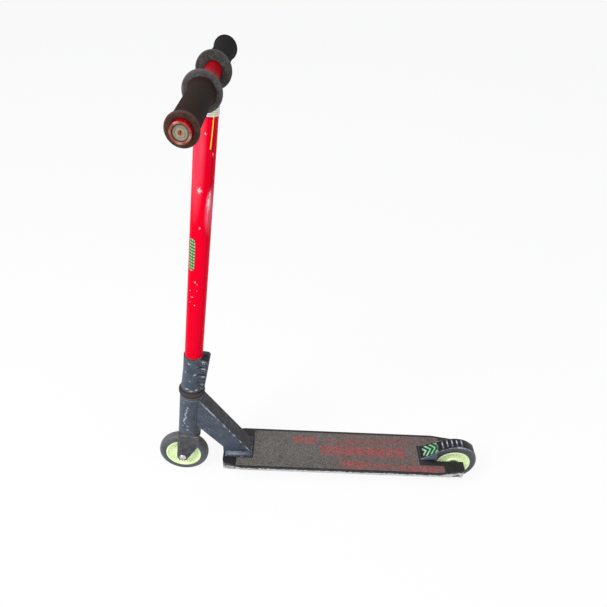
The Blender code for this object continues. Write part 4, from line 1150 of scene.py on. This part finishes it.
@dataclass(frozen=True)
class Studio:
    """The camera, floor and lamps. The camera is where the photograph was taken from."""

    eye: Vector = Vector((-0.0821, -0.75113, 0.93523))
    ahead: Vector = Vector((0.02815, 0.76382, -0.64482))
    roll: float = math.radians(3.89)
    focal_share: float = 546.84 / 607
    sensor_mm: float = 36.0
    shift: tuple[float, float] = (0.0071, 0.0968)
    view_depth: float = 100.0
    floor_size: float = 40.0
    floor_light: float = 0.9

    def build(self) -> None:
        """Sets up everything that isn't the scooter."""
        scene = bpy.context.scene
        scene.view_settings.view_transform = "Standard"
        self.add_camera(scene)
        self.add_floor()
        self.add_world(scene)
        self.add_lamp("key_lamp", (-1.6, -1.3, 2.2), (-0.1, 0, 0.3), 1.1, 58)
        self.add_lamp("fill_lamp", (1.9, -1.2, 1.3), (0, 0, 0.2), 1.6, 14)

    def add_camera(self, scene: bpy.types.Scene) -> None:
        """Adds the camera with the photograph's place, roll and framing.

        Args:
            scene: the scene that is seen through it.
        """
        ahead = self.ahead.normalized()
        level = ahead.cross(Vector((0, 0, 1))).normalized()
        upright = level.cross(ahead)
        right = level * math.cos(self.roll) + upright * math.sin(self.roll)
        up = upright * math.cos(self.roll) - level * math.sin(self.roll)
        camera = bpy.data.cameras.new("camera")
        camera.sensor_width = self.sensor_mm
        camera.lens = self.focal_share * camera.sensor_width
        camera.shift_x, camera.shift_y = self.shift
        camera.clip_end = self.view_depth
        scene.camera = link_object("camera", camera)
        turn = Matrix((right, up, -ahead)).transposed().to_4x4()
        scene.camera.matrix_world = Matrix.Translation(self.eye) @ turn

    def seen(self, graph: Graph) -> Socket:
        """A mask that is 1 for what the camera, gloss and glass see.

        Args:
            graph: the nodes of the floor or of the sky.

        Returns:
            A socket that is 0 or 1.
        """
        rays = add_node(graph.tree, "ShaderNodeLightPath").outputs
        camera, gloss, glass = (rays[f"Is {kind} Ray"] for kind in ("Camera", "Glossy", "Transmission"))
        return graph.calc("MAXIMUM", graph.calc("MAXIMUM", camera, gloss), glass)

    def add_floor(self) -> None:
        """Adds a plain pale floor, which is seen near white but keeps the scooter's shadow."""
        shape = bmesh.new()
        bmesh.ops.create_grid(shape, x_segments=1, y_segments=1, size=self.floor_size / 2)
        material = bpy.data.materials.new("pale_painted_floor")
        material.use_nodes = True
        graph = Graph(material.node_tree)
        paint = graph.tree.nodes["Principled BSDF"]
        set_inputs(paint, {"Base Color": linear("#F4F4F2"), "Roughness": 0.9, "Specular IOR Level": 0.1})
        white = graph.add("ShaderNodeEmission", {0: linear("#FFFFFF"), 1: 1.0})
        share = graph.calc("MULTIPLY", self.seen(graph), self.floor_light)
        mix = graph.add("ShaderNodeMixShader", {0: share, 1: paint.outputs[0], 2: white})
        set_inputs(graph.tree.nodes["Material Output"], {0: mix})
        floor = link_object("floor", new_mesh("floor", shape))
        floor.data.materials.append(material)

    def add_world(self, scene: bpy.types.Scene) -> None:
        """Adds an even pale sky, which the camera, gloss and glass see as white.

        Args:
            scene: the scene that it lights.
        """
        scene.world = bpy.data.worlds.new("studio")
        scene.world.use_nodes = True
        graph = Graph(scene.world.node_tree)
        graph.tree.nodes.clear()
        soft = graph.add("ShaderNodeBackground", {0: linear("#F1F5FB"), 1: 0.55})
        white = graph.add("ShaderNodeBackground", {0: linear("#FCFCFC"), 1: 1.0})
        mix = graph.add("ShaderNodeMixShader", {0: self.seen(graph), 1: soft, 2: white})
        add_node(graph.tree, "ShaderNodeOutputWorld", {0: mix})

    def add_lamp(self, name: str, place: Triple, target: Triple, size: float, power: float) -> None:
        """Adds a soft square lamp.

        Args:
            name: its name.
            place: where it hangs.
            target: what it points at.
            size: its side.
            power: its power in watts.
        """
        lamp = bpy.data.lights.new(name, "AREA")
        lamp.size = size
        lamp.energy = power
        aim = (Vector(target) - Vector(place)).to_track_quat("-Z", "Y")
        link_object(name, lamp).matrix_world = Matrix.Translation(place) @ aim.to_matrix().to_4x4()


@dataclass(frozen=True)
class Wheel:
    """A wheel: a urethane tyre on a nylon core with radial slots."""

    end: str
    body: Body
    tyre_colour_as_lit: str
    segments: int = 128
    slots: int = 28
    slot_width: float = 0.9 * MM
    slot_inner: float = 21.5 * MM
    slot_outer: float = 29.9 * MM

    @property
    def frame(self) -> Matrix:
        """The wheel's own frame, with local Z along its axle."""
        return joint_frame(self.end + "_wheel_spin")

    def build(self) -> None:
        """Builds the tyre and the core."""
        node = self.end + "_tyre"
        radius = local_box(node, self.frame)[1].x
        urethane = CastUrethane(node + "_urethane", self.tyre_colour_as_lit, self.frame, radius).build()
        shape = lathe(rounded(meridian(node, self.frame), radius, 6), self.segments)
        dress(make_piece(node + "_skin", shape, urethane, self.frame), self.body, [node])
        self.add_core()

    def add_core(self) -> None:
        """Adds the core, with its slots cut by Geometry Nodes."""
        node = self.end + "_core"
        outline = meridian(node, self.frame)
        face = max(height for _, height in outline)
        bore = local_box(self.end + "_bearing_left", self.frame)[1].x
        nylon = MouldedNylon(node + "_nylon", self.frame, bore).build()
        shape = lathe(rounded(outline, 0.5 * MM, 3), 4 * self.slots)
        piece = make_piece(node + "_moulding", shape, nylon)
        middle = (self.slot_inner + self.slot_outer) / 2
        size = (self.slot_outer - self.slot_inner, self.slot_width, 4 * face)
        tree = Growth("radial_slots", Count=self.slots, Middle=middle, Size=size, Material=nylon)
        given = tree.inputs
        circle = tree.add("GeometryNodeMeshCircle", {"Vertices": given["Count"], "Radius": given["Middle"]})
        share = tree.calc("DIVIDE", tree.add("GeometryNodeInputIndex"), given["Count"])
        turn = tree.add("ShaderNodeCombineXYZ", {2: tree.calc("MULTIPLY", share, math.tau)})
        cutter = tree.add("GeometryNodeMeshCube", {"Size": given["Size"]})
        # The cutters mark the slot walls that they leave, for the core's darkening, which is grime and
        # painted shade.
        darkening = {"Geometry": cutter, "Name": DARKENING_LAYER, "Value": 1.0}
        darkened_cutters = tree.add("GeometryNodeStoreNamedAttribute", darkening, data_type="FLOAT", domain="FACE")
        placed = {"Points": circle, "Instance": darkened_cutters, "Rotation": turn}
        cutters = tree.add("GeometryNodeInstanceOnPoints", placed)
        solids = {0: given["Geometry"], 1: tree.add("GeometryNodeRealizeInstances", {0: cutters})}
        cut = tree.add("GeometryNodeMeshBoolean", solids, operation="DIFFERENCE", solver="EXACT")
        tree.grow(piece, cut)
        phase = outermost_turn(node, self.frame) - math.pi / self.slots
        piece.data.transform(self.frame @ Matrix.Rotation(phase, 4, "Z"))
        smooth(piece)
        dress(piece, self.body, [node])


@dataclass(frozen=True)
class WeldBead:
    """A row of overlapping weld puddles along the edges where one piece meets another."""

    name: str
    node: str
    keep: Callable[[Vector], bool]
    pitch: float = 1.5 * MM
    radius: float = 1.7 * MM
    flatness: float = 0.62

    def on_seam(self, edge: bmesh.types.BMEdge) -> bool:
        """Whether an edge is sharp and passes the test at both ends."""
        sharp = edge.is_manifold and edge.calc_face_angle() > SEAM_ANGLE
        return sharp and all(self.keep(v.co) for v in edge.verts)

    def build(self, material: Material, body: Body, slot: str) -> None:
        """Lays the bead with Geometry Nodes along the CAD node's seam.

        Args:
            material: its finish.
            body: the body that it moves with.
            slot: not used.
        """
        shape = node_shape(self.node)
        rest = [edge for edge in shape.edges if not self.on_seam(edge)]
        bmesh.ops.delete(shape, geom=shape.faces[:], context="FACES_ONLY")
        bmesh.ops.delete(shape, geom=rest, context="EDGES")
        piece = link_object(self.name, new_mesh(self.name, shape))
        tree = Growth("weld_puddles", Pitch=self.pitch, Radius=self.radius, Material=material)
        curve = tree.add("GeometryNodeMeshToCurve", {"Mesh": tree.inputs["Geometry"]})
        spacing = {0: curve, "Length": tree.inputs["Pitch"]}
        points = add_node(tree.tree, "GeometryNodeCurveToPoints", spacing, mode="LENGTH").outputs
        ball = {"Segments": 12, "Rings": 8, "Radius": tree.inputs["Radius"]}
        puddle = tree.add("GeometryNodeMeshUVSphere", ball)
        aligned = tree.add("FunctionNodeAlignRotationToVector", {"Vector": points["Tangent"]}, axis="Z")
        placed = {"Points": points[0], "Instance": puddle, "Rotation": aligned}
        placed["Scale"] = (1.0, 1.0, self.flatness)
        tree.grow(piece, tree.add("GeometryNodeInstanceOnPoints", placed))
        piece.data.shade_smooth()
        dress(piece, body)


def marks_on(radius: float, places: Places) -> list[Mark]:
    """Marks on a tube of the steering axis.

    Args:
        radius: the tube's radius.
        places: each mark's angle in degrees from the rear, its height, its width and its length in mm.

    Returns:
        The marks.
    """
    marks = []
    for angle, height, wide, tall in places:
        turn = math.radians(angle)
        centre = (radius * math.cos(turn), radius * math.sin(turn), height * MM)
        marks.append(Mark(centre, mm(wide, wide, tall)))
    return marks


@dataclass(frozen=True)
class Chassis:
    """The deck, its grit sheet, the neck and the head tube.

    Scuffs are places on the head tube, as marks_on reads them. A printed row has its ends, its sides and
    its strength, and a rub its share of the neck's edge and its half-length in millimetres.
    """

    neck_slope: Vector = Vector((0.82, 0.0, 0.57))
    scuffs: Places = (
        (-99, 145, 2.0, 3.5),
        (-103, 139, 1.7, 4.5),
        (-106, 132, 2.2, 3.0),
        (-111, 126, 2.0, 5.0),
        (-106, 119, 2.2, 4.0),
        (-114, 113, 2.4, 5.0),
        (-119, 106, 2.6, 4.0),
        (-111, 102, 1.6, 2.5),
        (-97, 95, 2.2, 1.6),
        (-122, 93, 1.8, 2.2),
        (-94, 85, 3.0, 2.0),
    )
    print_rows: Places = (
        (-0.056, -0.004, 0.015, 0.034, 0.7),
        (0.010, 0.190, 0.018, 0.030, 0.15),
        (0.002, 0.176, -0.014, 0.010, 0.7),
        (0.046, 0.100, -0.046, -0.028, 0.7),
        (0.104, 0.152, -0.046, -0.032, 0.25),
        (0.160, 0.252, -0.050, -0.035, 0.6),
    )
    rubs: Places = ((0.20, 30), (0.47, 7), (0.57, 3), (0.66, 5), (0.79, 3), (0.92, 6))

    def build(self) -> None:
        """Builds the chassis."""
        _, radius, top = local_box("head_tube", STEERING)[1]
        turning = Turning(STEERING, Body.FRAME, "slate_paint")
        rings = ((top - 3.2 * MM, top - 2.2 * MM, "#9C9A98"), (top - 1.5 * MM, top + 1 * MM, "#5A534E"))
        marks = marks_on(radius, self.scuffs)
        slate = SlatePowderCoat("slate_powder_coat_head_tube", STEERING, marks, 0.5, rings=rings).build()
        turning.add("head_tube", "head_tube_shell", slate, 0.7 * MM)
        rings = ((-FAR, FAR, "#57514C"),)
        cup_paint = SlatePowderCoat("slate_powder_coat_cups", STEERING, rings=rings).build()
        for end in ("upper", "lower"):
            turning.add(end + "_headset_cup", end + "_cup_shell", cup_paint, 0.5 * MM)
        self.add_neck()

        def on_tube(point: Vector) -> bool:
            """Whether a point lies on the head tube's outside."""
            return (STEERING.inverted() @ point).xy.length < radius + 1 * MM

        WeldBead("head_tube_weld", "neck", on_tube).build(slate, Body.FRAME, "slate_paint")
        deck = WornDeckPaint(*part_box("deck")).build()
        refined("deck", "deck_board", deck, 0.8 * MM, Body.FRAME)
        tape = GritSheet(self.print_rows).build()
        refined("grip_tape", "grit_sheet", tape, 0.2 * MM, Body.FRAME)

    def add_neck(self) -> None:
        """Adds the neck, rubbed pale along its upper edge, with a painted highlight on its ledge and painted
        shadow at its seams with the deck.
        """
        low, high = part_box("neck")
        side = [p for p in local_points("neck", Matrix()) if low.y + 8 * MM < p.y < low.y + 11 * MM]
        slope = self.neck_slope
        head = max((p for p in side if p.z > high.z - 10 * MM), key=slope.dot)
        foot = min((p for p in side if p.z < low.z + 10 * MM), key=lambda p: abs(slope.dot(p - head)))
        run = foot - head
        rise = math.atan2(run.z, run.x)
        # The first mark is a painted highlight: a pale band on the ledge at the neck's foot, where it catches
        # light.
        marks = [Mark((foot.x - 34 * MM, low.y + 5 * MM, foot.z - 1.5 * MM), mm(28, 8, 3.6), 0.0, 0.4)]
        marks += [Mark(head + share * run, mm(long, 2.3, 2.3), rise) for share, long in self.rubs]
        # Painted shadow: dark marks along the neck's foot and behind it, where it meets the deck.
        seam_shadows = [
            Mark((foot.x - 22 * MM, low.y, low.z), mm(42, 4, 3.2), 0.0, 0.8),
            Mark((high.x, 0, low.z), mm(5, 34, 8), 0.0, 0.8),
        ]
        name = "slate_powder_coat_neck"
        paint = SlatePowderCoat(name, None, marks, 0.9, tuple(slope), 0.02, 0.3, painted_groove_shade=seam_shadows).build()
        refined("neck", "neck_beam", paint, 2.2 * MM, Body.FRAME)


@dataclass(frozen=True)
class FrontEnd:
    """The fork, the seal, the clamp with its bolts, and the axles.

    Scuffs and painted groove shade on the clamp have a centre and half-sizes, in millimetres of the steering
    frame.
    """

    scuffs: Places = (
        (-6, -19, 252, 3.6, 6, 2.6),
        (6, -19, 227, 3.2, 6, 2.4),
        (-12, -16, 229, 2.4, 6, 2.0),
        (-3, -20, 212, 1.8, 5, 1.6),
        (-8, -19, 192, 6.0, 6, 2.4),
        (1, -20, 189, 5.5, 6, 2.0),
        (10, -18, 191, 3.0, 6, 3.0),
        (19.5, -13, 257, 4.2, 6, 2.8),
        (20.3, -13, 240.5, 4.4, 6, 2.8),
        (19.9, -13, 221.5, 4.2, 6, 2.8),
        (19.5, -13, 202, 4.0, 6, 2.8),
    )
    # Painted shade in the two slits of the clamp's ear and over the ears' top.
    painted_groove_shade: Places = (
        (17, -14, 244.5, 4.5, 8, 1.5),
        (18, -14, 227.5, 7.5, 8, 1.4),
        (25, -9, 264, 14, 17, 5.5),
    )

    def build(self) -> None:
        """Builds the front end below the bar."""
        self.add_fork()
        self.add_clamp()
        self.add_seal()
        self.add_metal()

    def add_fork(self) -> None:
        """Adds the fork."""
        low, high = local_box("fork", STEERING)
        top = max(p.z for p in local_points("fork", STEERING) if p.y < low.y + 0.1 * MM)
        fork = WornForkPaint(STEERING, Vector((high.x, low.y, top))).build()
        refined("fork", "fork_legs", fork, 1.2 * MM, Body.FRONT_END)

    def add_clamp(self) -> None:
        """Adds the clamp."""
        marks, clamp_shade_marks = (
            [Mark(mm(*values[:3]), mm(*values[3:])) for values in places]
            for places in (self.scuffs, self.painted_groove_shade)
        )
        foot = local_box("clamp", STEERING)[0].z
        rings = ((foot - 1 * MM, foot + 5 * MM, "#4E4A49"),)
        name = "slate_powder_coat_clamp"
        clamp = SlatePowderCoat(name, STEERING, marks, 0.3, rings=rings, painted_groove_shade=clamp_shade_marks).build()
        refined("clamp", "clamp_casting", clamp, 0.7 * MM, Body.FRONT_END)

    def add_seal(self) -> None:
        """Adds the rubber seal under the clamp."""
        low, high = local_box("headset_seal", STEERING)
        dusty = ((low.z + 3.2 * MM, high.z + 1 * MM, "#4C4644"),)
        seal = DustyRubber("black_seal_rubber", "#141316", "#2B2523", 0.45, STEERING, 0.5, dusty).build()
        turning = Turning(STEERING, Body.FRONT_END, "seal_rubber")
        turning.add("headset_seal", "seal_ring", seal, 0.8 * MM)

    def add_metal(self) -> None:
        """Adds the axles and the clamp's bolts, and gives the hidden metal inside the clamp its looks."""
        zinc = PlatedSteel("zinc_plated_steel").build()
        black = PlatedSteel("blackened_clamp_steel", "#50565F", "#33373F", 0.5).build()
        for end, body in (("front", Body.FRONT_END), ("rear", Body.FRAME)):
            for node in (end + "_axle_bolt", end + "_axle_nut"):
                refined(node, node + "_shape", zinc, 0.5 * MM, body)
        for i in range(1, 5):
            node = f"clamp_bolt_{i}"
            refined(node, node + "_shape", black, 0.4 * MM, Body.FRONT_END)
        for node in ("compression_cap", "compression_bolt", "star_nut"):
            FRAME["nodes"][node].data.materials[0] = zinc
        shim = PlatedSteel("turned_aluminium", "#D2D3D5", "#A9AAAC", 0.35).build()
        FRAME["nodes"]["clamp_shim"].data.materials[0] = shim


@dataclass(frozen=True)
class Handlebar:
    """The bar's tube and crossbar, the grips, the end plugs, the sticker, the label and its tie."""

    segments: int = 96
    rib_pitch: float = 3.2 * MM
    rib_depth: float = 0.3 * MM
    rib_steps: int = 6
    plain_end: float = 14 * MM
    flange: float = 6 * MM
    roll: float = 5 * MM
    bare_end: float = 0.7 * MM
    cope_play: float = 0.3 * MM
    sticker_turns: tuple[float, float] = (-150.0, -106.0)
    sticker_heights: tuple[float, float] = (441 * MM, 496 * MM)
    sticker_steps: int = 24
    sticker_thickness: float = 0.35 * MM
    tie_turns: tuple[float, float] = (-49.0, -56.5)
    tie_heights: tuple[float, float] = (688 * MM, 632 * MM)
    tie_radius: float = 0.6 * MM
    tie_sway: float = 1.5
    tie_steps: int = 16
    chips: Places = (
        (-99, 573, 4.4, 6.0),
        (-45, 556, 4.6, 17.0),
        (-41, 568, 2.6, 7.0),
        (-83, 652, 1.5, 2.2),
        (-38, 624, 1.3, 3.5),
        (-88, 516, 1.4, 2.0),
        (-98, 422, 1.7, 1.9),
        (-86, 418, 1.1, 1.3),
        (-128, 403.5, 1.2, 1.3),
        (-84, 406.7, 1.1, 1.3),
        (-112, 393, 2.2, 1.2),
        (-125, 382, 1.2, 1.2),
        (-94, 378, 1.4, 1.2),
    )

    @property
    def crossbar(self) -> Matrix:
        """The crossbar's frame: its middle, with local Z to the rider's right."""
        middle = sum(corner.z for corner in local_box("crossbar", STEERING)) / 2
        return STEERING @ Matrix.Translation((0, 0, middle)) @ Matrix.Rotation(math.radians(-90), 4, "X")

    def turning(self, frame: Matrix, slot: str) -> Turning:
        """How the bar's turned pieces in one frame are made."""
        return Turning(frame, Body.FRONT_END, slot, self.segments)

    def build(self) -> None:
        """Builds the bar and what is on it."""
        radius = local_box("bar_down_tube", STEERING)[1].y
        self.add_down_tube(radius)
        self.add_crossbar(radius)
        for side in Side:
            self.add_grip(side)
            self.add_plug(side)
        self.add_label(radius)
        self.add_sticker(radius)
        self.add_tie(radius)

    def add_down_tube(self, radius: float) -> None:
        """Adds the bar's down tube, coped at its top for the crossbar.

        Args:
            radius: its radius.
        """
        foot = local_box("clamp", STEERING)[1].z
        # The first mark here is a painted highlight band down the tube's left, the second a milky rubbed
        # patch; the shade mark below is painted shade down its right.
        haze_and_highlight = [
            Mark((-0.55 * radius, -0.9 * radius, 0.63), mm(10, 10, 85), 0.0, 0.42),
            Mark((0.85 * radius, -0.5 * radius, 0.54), mm(8, 8, 31), 0.0, 0.8),
        ]
        painted_shade = [Mark((0.75 * radius, -0.65 * radius, 0.61), mm(9, 9, 120), 0.0, 0.55)]
        bare = [(foot - 2 * MM, foot + 1.8 * MM)]
        chips = marks_on(radius, self.chips)
        reds = ("#E60027", "#D00020")
        paint = RedPowderCoat("red_powder_coat_tube", STEERING, reds, chips, haze_and_highlight, painted_shade, bare).build()
        outline = meridian("bar_down_tube", STEERING)
        piece = make_piece("bar_tube", lathe(outline, self.segments), paint, STEERING)
        cope = local_box("crossbar", self.crossbar)[1].x + self.cope_play
        reach = 2 * radius
        cutter = lathe([(0, -reach), (cope, -reach), (cope, reach), (0, reach)], self.segments)
        helper = make_piece("cope_cutter", cutter, paint, self.crossbar)
        modifier = piece.modifiers.new("cope", "BOOLEAN")
        modifier.operation = "DIFFERENCE"
        modifier.solver = "EXACT"
        modifier.object = helper
        bake_modifiers(piece)
        bpy.data.objects.remove(helper)
        dress(piece, Body.FRONT_END, ["bar_down_tube"])

    def add_crossbar(self, tube_radius: float) -> None:
        """Adds the crossbar with bare ends, and its weld to the down tube.

        Args:
            tube_radius: the down tube's radius.
        """
        low, high = local_box("crossbar", self.crossbar)
        bare = [(low.z - FAR, low.z + self.bare_end), (high.z - self.bare_end, high.z + FAR)]
        # Painted shade: the crossbar has the tube's paint, given darker reds as if it lay in shade.
        reds = ("#A8000F", "#90000C")
        paint = RedPowderCoat("red_powder_coat_crossbar_shaded", self.crossbar, reds, bare=bare).build()
        self.turning(self.crossbar, "bar_red").add("crossbar", "bar_crosspiece", paint, 0.5 * MM)

        def at_cope(point: Vector) -> bool:
            """Whether a point lies on the outer edge of the down tube's cope."""
            outside = (STEERING.inverted() @ point).xy.length > tube_radius - 0.5 * MM
            return outside and (self.crossbar.inverted() @ point).xy.length < high.x + 1 * MM

        WeldBead("crossbar_weld", "bar_down_tube", at_cope).build(paint, Body.FRONT_END, "bar_red")

    def add_grip(self, side: Side) -> None:
        """Adds one grip, its fine rings sunk by Geometry Nodes.

        Args:
            side: the side that it is on.
        """
        node = "grip_" + side.name.lower()
        ends = [corner.z for corner in local_box(node, self.crossbar)]
        inner, outer = ends[:: side.value]
        out = side.value
        # The right grip's rubber, dust and roll colours are near black: painted shade, for the far grip in
        # shade.
        colour, dust, soil = {
            Side.LEFT: ("#1B1310", "#2B1D17", "#5E463A"),
            Side.RIGHT: ("#0E0C0C", "#161212", "#141011"),
        }[side]
        flange = sorted((inner, inner + out * self.flange))
        roll = sorted((outer, outer - out * self.roll))
        bands = ((*flange, "#5D5A59"), (*roll, soil))
        rubber = DustyRubber(node + "_rubber", colour, dust, 0.4, self.crossbar, 0.72, bands).build()
        start, end = sorted((inner + out * self.plain_end, outer - out * self.plain_end))
        bore = local_box("crossbar", self.crossbar)[1].x + 1 * MM
        outline = rounded(meridian(node, self.crossbar), 1.0 * MM, 3)
        points = []
        for here, there in zip(outline, outline[1:] + outline[:1]):
            points.append(here)
            length = abs(here[1] - there[1])
            if length > (end - start) / 2 and here[0] > bore:
                count = round(length / (self.rib_pitch / self.rib_steps))
                points += [tuple(Vector(here).lerp(Vector(there), i / count)) for i in range(1, count)]
        piece = make_piece(node + "_sleeve", lathe(points, self.segments), rubber)
        sizes = {"Start": start, "End": end, "Bore": bore, "Pitch": self.rib_pitch, "Depth": self.rib_depth}
        tree = Growth("grip_rings", **sizes, Material=rubber)
        given = tree.inputs
        place = tree.add("GeometryNodeInputPosition")
        along = add_node(tree.tree, "ShaderNodeSeparateXYZ", {0: place}).outputs[2]
        flat = tree.vector("MULTIPLY", place, (1, 1, 0))
        phase = tree.calc("PINGPONG", along, tree.calc("DIVIDE", given["Pitch"], 2))
        groove = tree.ramp(tree.calc("DIVIDE", phase, given["Pitch"]), 0.1, 0.35)
        after = tree.calc("GREATER_THAN", along, given["Start"])
        before = tree.calc("LESS_THAN", along, given["End"])
        outside = tree.calc("GREATER_THAN", tree.vector("LENGTH", flat), given["Bore"])
        sink = tree.product(groove, after, before, outside, given["Depth"], -1.0)
        move = tree.vector("MULTIPLY", tree.vector("NORMALIZE", flat), sink)
        tree.grow(piece, tree.add("GeometryNodeSetPosition", {"Geometry": given["Geometry"], "Offset": move}))
        piece.data.transform(self.crossbar)
        dress(piece, Body.FRONT_END, [node])

    def add_plug(self, side: Side) -> None:
        """Adds the plug in one end of the crossbar.

        Args:
            side: the side that it is on.
        """
        node = "bar_plug_" + side.name.lower()
        outline = meridian(node, self.crossbar)
        face = max(z * side.value for _, z in outline)
        mark = min(r for r, _ in outline if r > 0)
        rim = max(r for r, z in outline if z * side.value > face - 1 * MM)
        plastic = MouldedPlug(node + "_plastic", self.crossbar, mark, rim).build()
        self.turning(self.crossbar, "plug_plastic").add(node, node + "_shape", plastic, 0.25 * MM)

    def add_label(self, radius: float) -> None:
        """Adds the white label wrapped round the top of the tube."""
        film = PrintedFilm("white_label_film", "#ECECEA", "#55565A", radius, 1.3 * MM, 0.8 * MM).build()
        self.turning(STEERING, "label_film").add("label_band", "label_wrap", film, 0.1 * MM)

    def add_sticker(self, radius: float) -> None:
        """Adds the green sticker, a sheet with rounded corners that follows the tube.

        Args:
            radius: the tube's radius.
        """
        film = PrintedFilm("green_sticker_film", "#2E5A34", "#9FE08A", radius, 2.6 * MM, 1.3 * MM).build()
        shape = bmesh.new()
        steps = self.sticker_steps
        bmesh.ops.create_grid(shape, x_segments=steps, y_segments=steps, size=1.0)
        turns = [math.radians(angle) for angle in self.sticker_turns]
        heights = self.sticker_heights
        away = radius + 0.15 * MM
        for vert in shape.verts:
            u, v = vert.co.xy
            across = u * math.sqrt(1 - 0.3 * v * v)
            up = v * math.sqrt(1 - 0.2 * u * u)
            turn = sum(turns) / 2 + across * (turns[1] - turns[0]) / 2
            height = sum(heights) / 2 + up * (heights[1] - heights[0]) / 2
            vert.co = (away * math.cos(turn), away * math.sin(turn), height)
        bmesh.ops.recalc_face_normals(shape, faces=shape.faces)
        bmesh.ops.solidify(shape, geom=shape.faces[:], thickness=self.sticker_thickness)
        dress(make_piece("bar_sticker", shape, film, STEERING), Body.FRONT_END)

    def add_tie(self, radius: float) -> None:
        """Adds the thin tie that leans down the tube, swept along its path by Geometry Nodes.

        Args:
            radius: the tube's radius.
        """
        plastic = DyedPlastic("yellow_tie_plastic", "#FFF03A", "#F0B41E", 0.4).build()
        mesh = bpy.data.meshes.new("tie_strand")
        path = []
        for share in (i / self.tie_steps for i in range(self.tie_steps + 1)):
            angle, height = (a + (b - a) * share for a, b in (self.tie_turns, self.tie_heights))
            turn = math.radians(angle + self.tie_sway * math.sin(math.pi * share))
            away = radius + self.tie_radius + 0.5 * MM * (1 - share)
            path.append((away * math.cos(turn), away * math.sin(turn), height))
        mesh.from_pydata(path, [(i, i + 1) for i in range(self.tie_steps)], [])
        piece = link_object("tie_strand", mesh)
        tree = Growth("swept_strand", Radius=self.tie_radius, Material=plastic)
        curve = tree.add("GeometryNodeMeshToCurve", {"Mesh": tree.inputs["Geometry"]})
        ring = {"Resolution": 12, "Radius": tree.inputs["Radius"]}
        circle = tree.add("GeometryNodeCurvePrimitiveCircle", ring)
        tree.grow(piece, tree.add("GeometryNodeCurveToMesh", {0: curve, 1: circle, "Fill Caps": True}))
        piece.data.transform(STEERING)
        piece.data.shade_smooth()
        dress(piece, Body.FRONT_END, ["label_tie"])


@dataclass(frozen=True)
class Brake:
    """The flex brake's foot, hood and bolts."""

    foot_rounding: float = 0.8 * MM
    hood_rounding: float = 0.5 * MM
    bolt_rounding: float = 0.3 * MM

    def build(self) -> None:
        """Builds the brake."""
        axle = joint_frame("rear_wheel_spin")
        outer = max(p.xy.length for p in local_points("brake_blade", axle))
        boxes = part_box("brake_foot"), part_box("brake_blade")
        plastic = MouldedBlackPlastic(*boxes, axle.translation, outer).build()
        refined("brake_foot", "brake_wedge", plastic, self.foot_rounding, Body.FRAME)
        refined("brake_blade", "brake_hood", plastic, self.hood_rounding, Body.BRAKE)
        steel = PlatedSteel("blackened_steel", "#2A2A2C", "#1A1A1C", 0.45).build()
        for side in Side:
            node = "brake_bolt_" + side.name.lower()
            refined(node, node + "_shape", steel, self.bolt_rounding, Body.FRAME)


def dress_hidden_nodes() -> None:
    """Gives the bearings, their race and their spacers their steel."""
    steel = PlatedSteel("ground_bearing_steel", "#B9BBC0", "#8E8B86", 0.2).build()
    for name, node in FRAME["nodes"].items():
        if "bearing" in name or "spacer" in name or name == "crown_race":
            node.data.materials[0] = steel


def main() -> None:
    """Builds the studio and the scooter."""
    logging.basicConfig(level=logging.INFO)
    Studio().build()
    Chassis().build()
    FrontEnd().build()
    Handlebar().build()
    # Painted light: the front tyre is given a lighter grey than the rear's, as if lit more, the rear in
    # shade.
    Wheel("front", Body.FRONT_WHEEL, "#4C4F59").build()
    Wheel("rear", Body.REAR_WHEEL, "#3C3D42").build()
    Brake().build()
    dress_hidden_nodes()


if __name__ == "__main__":
    main()
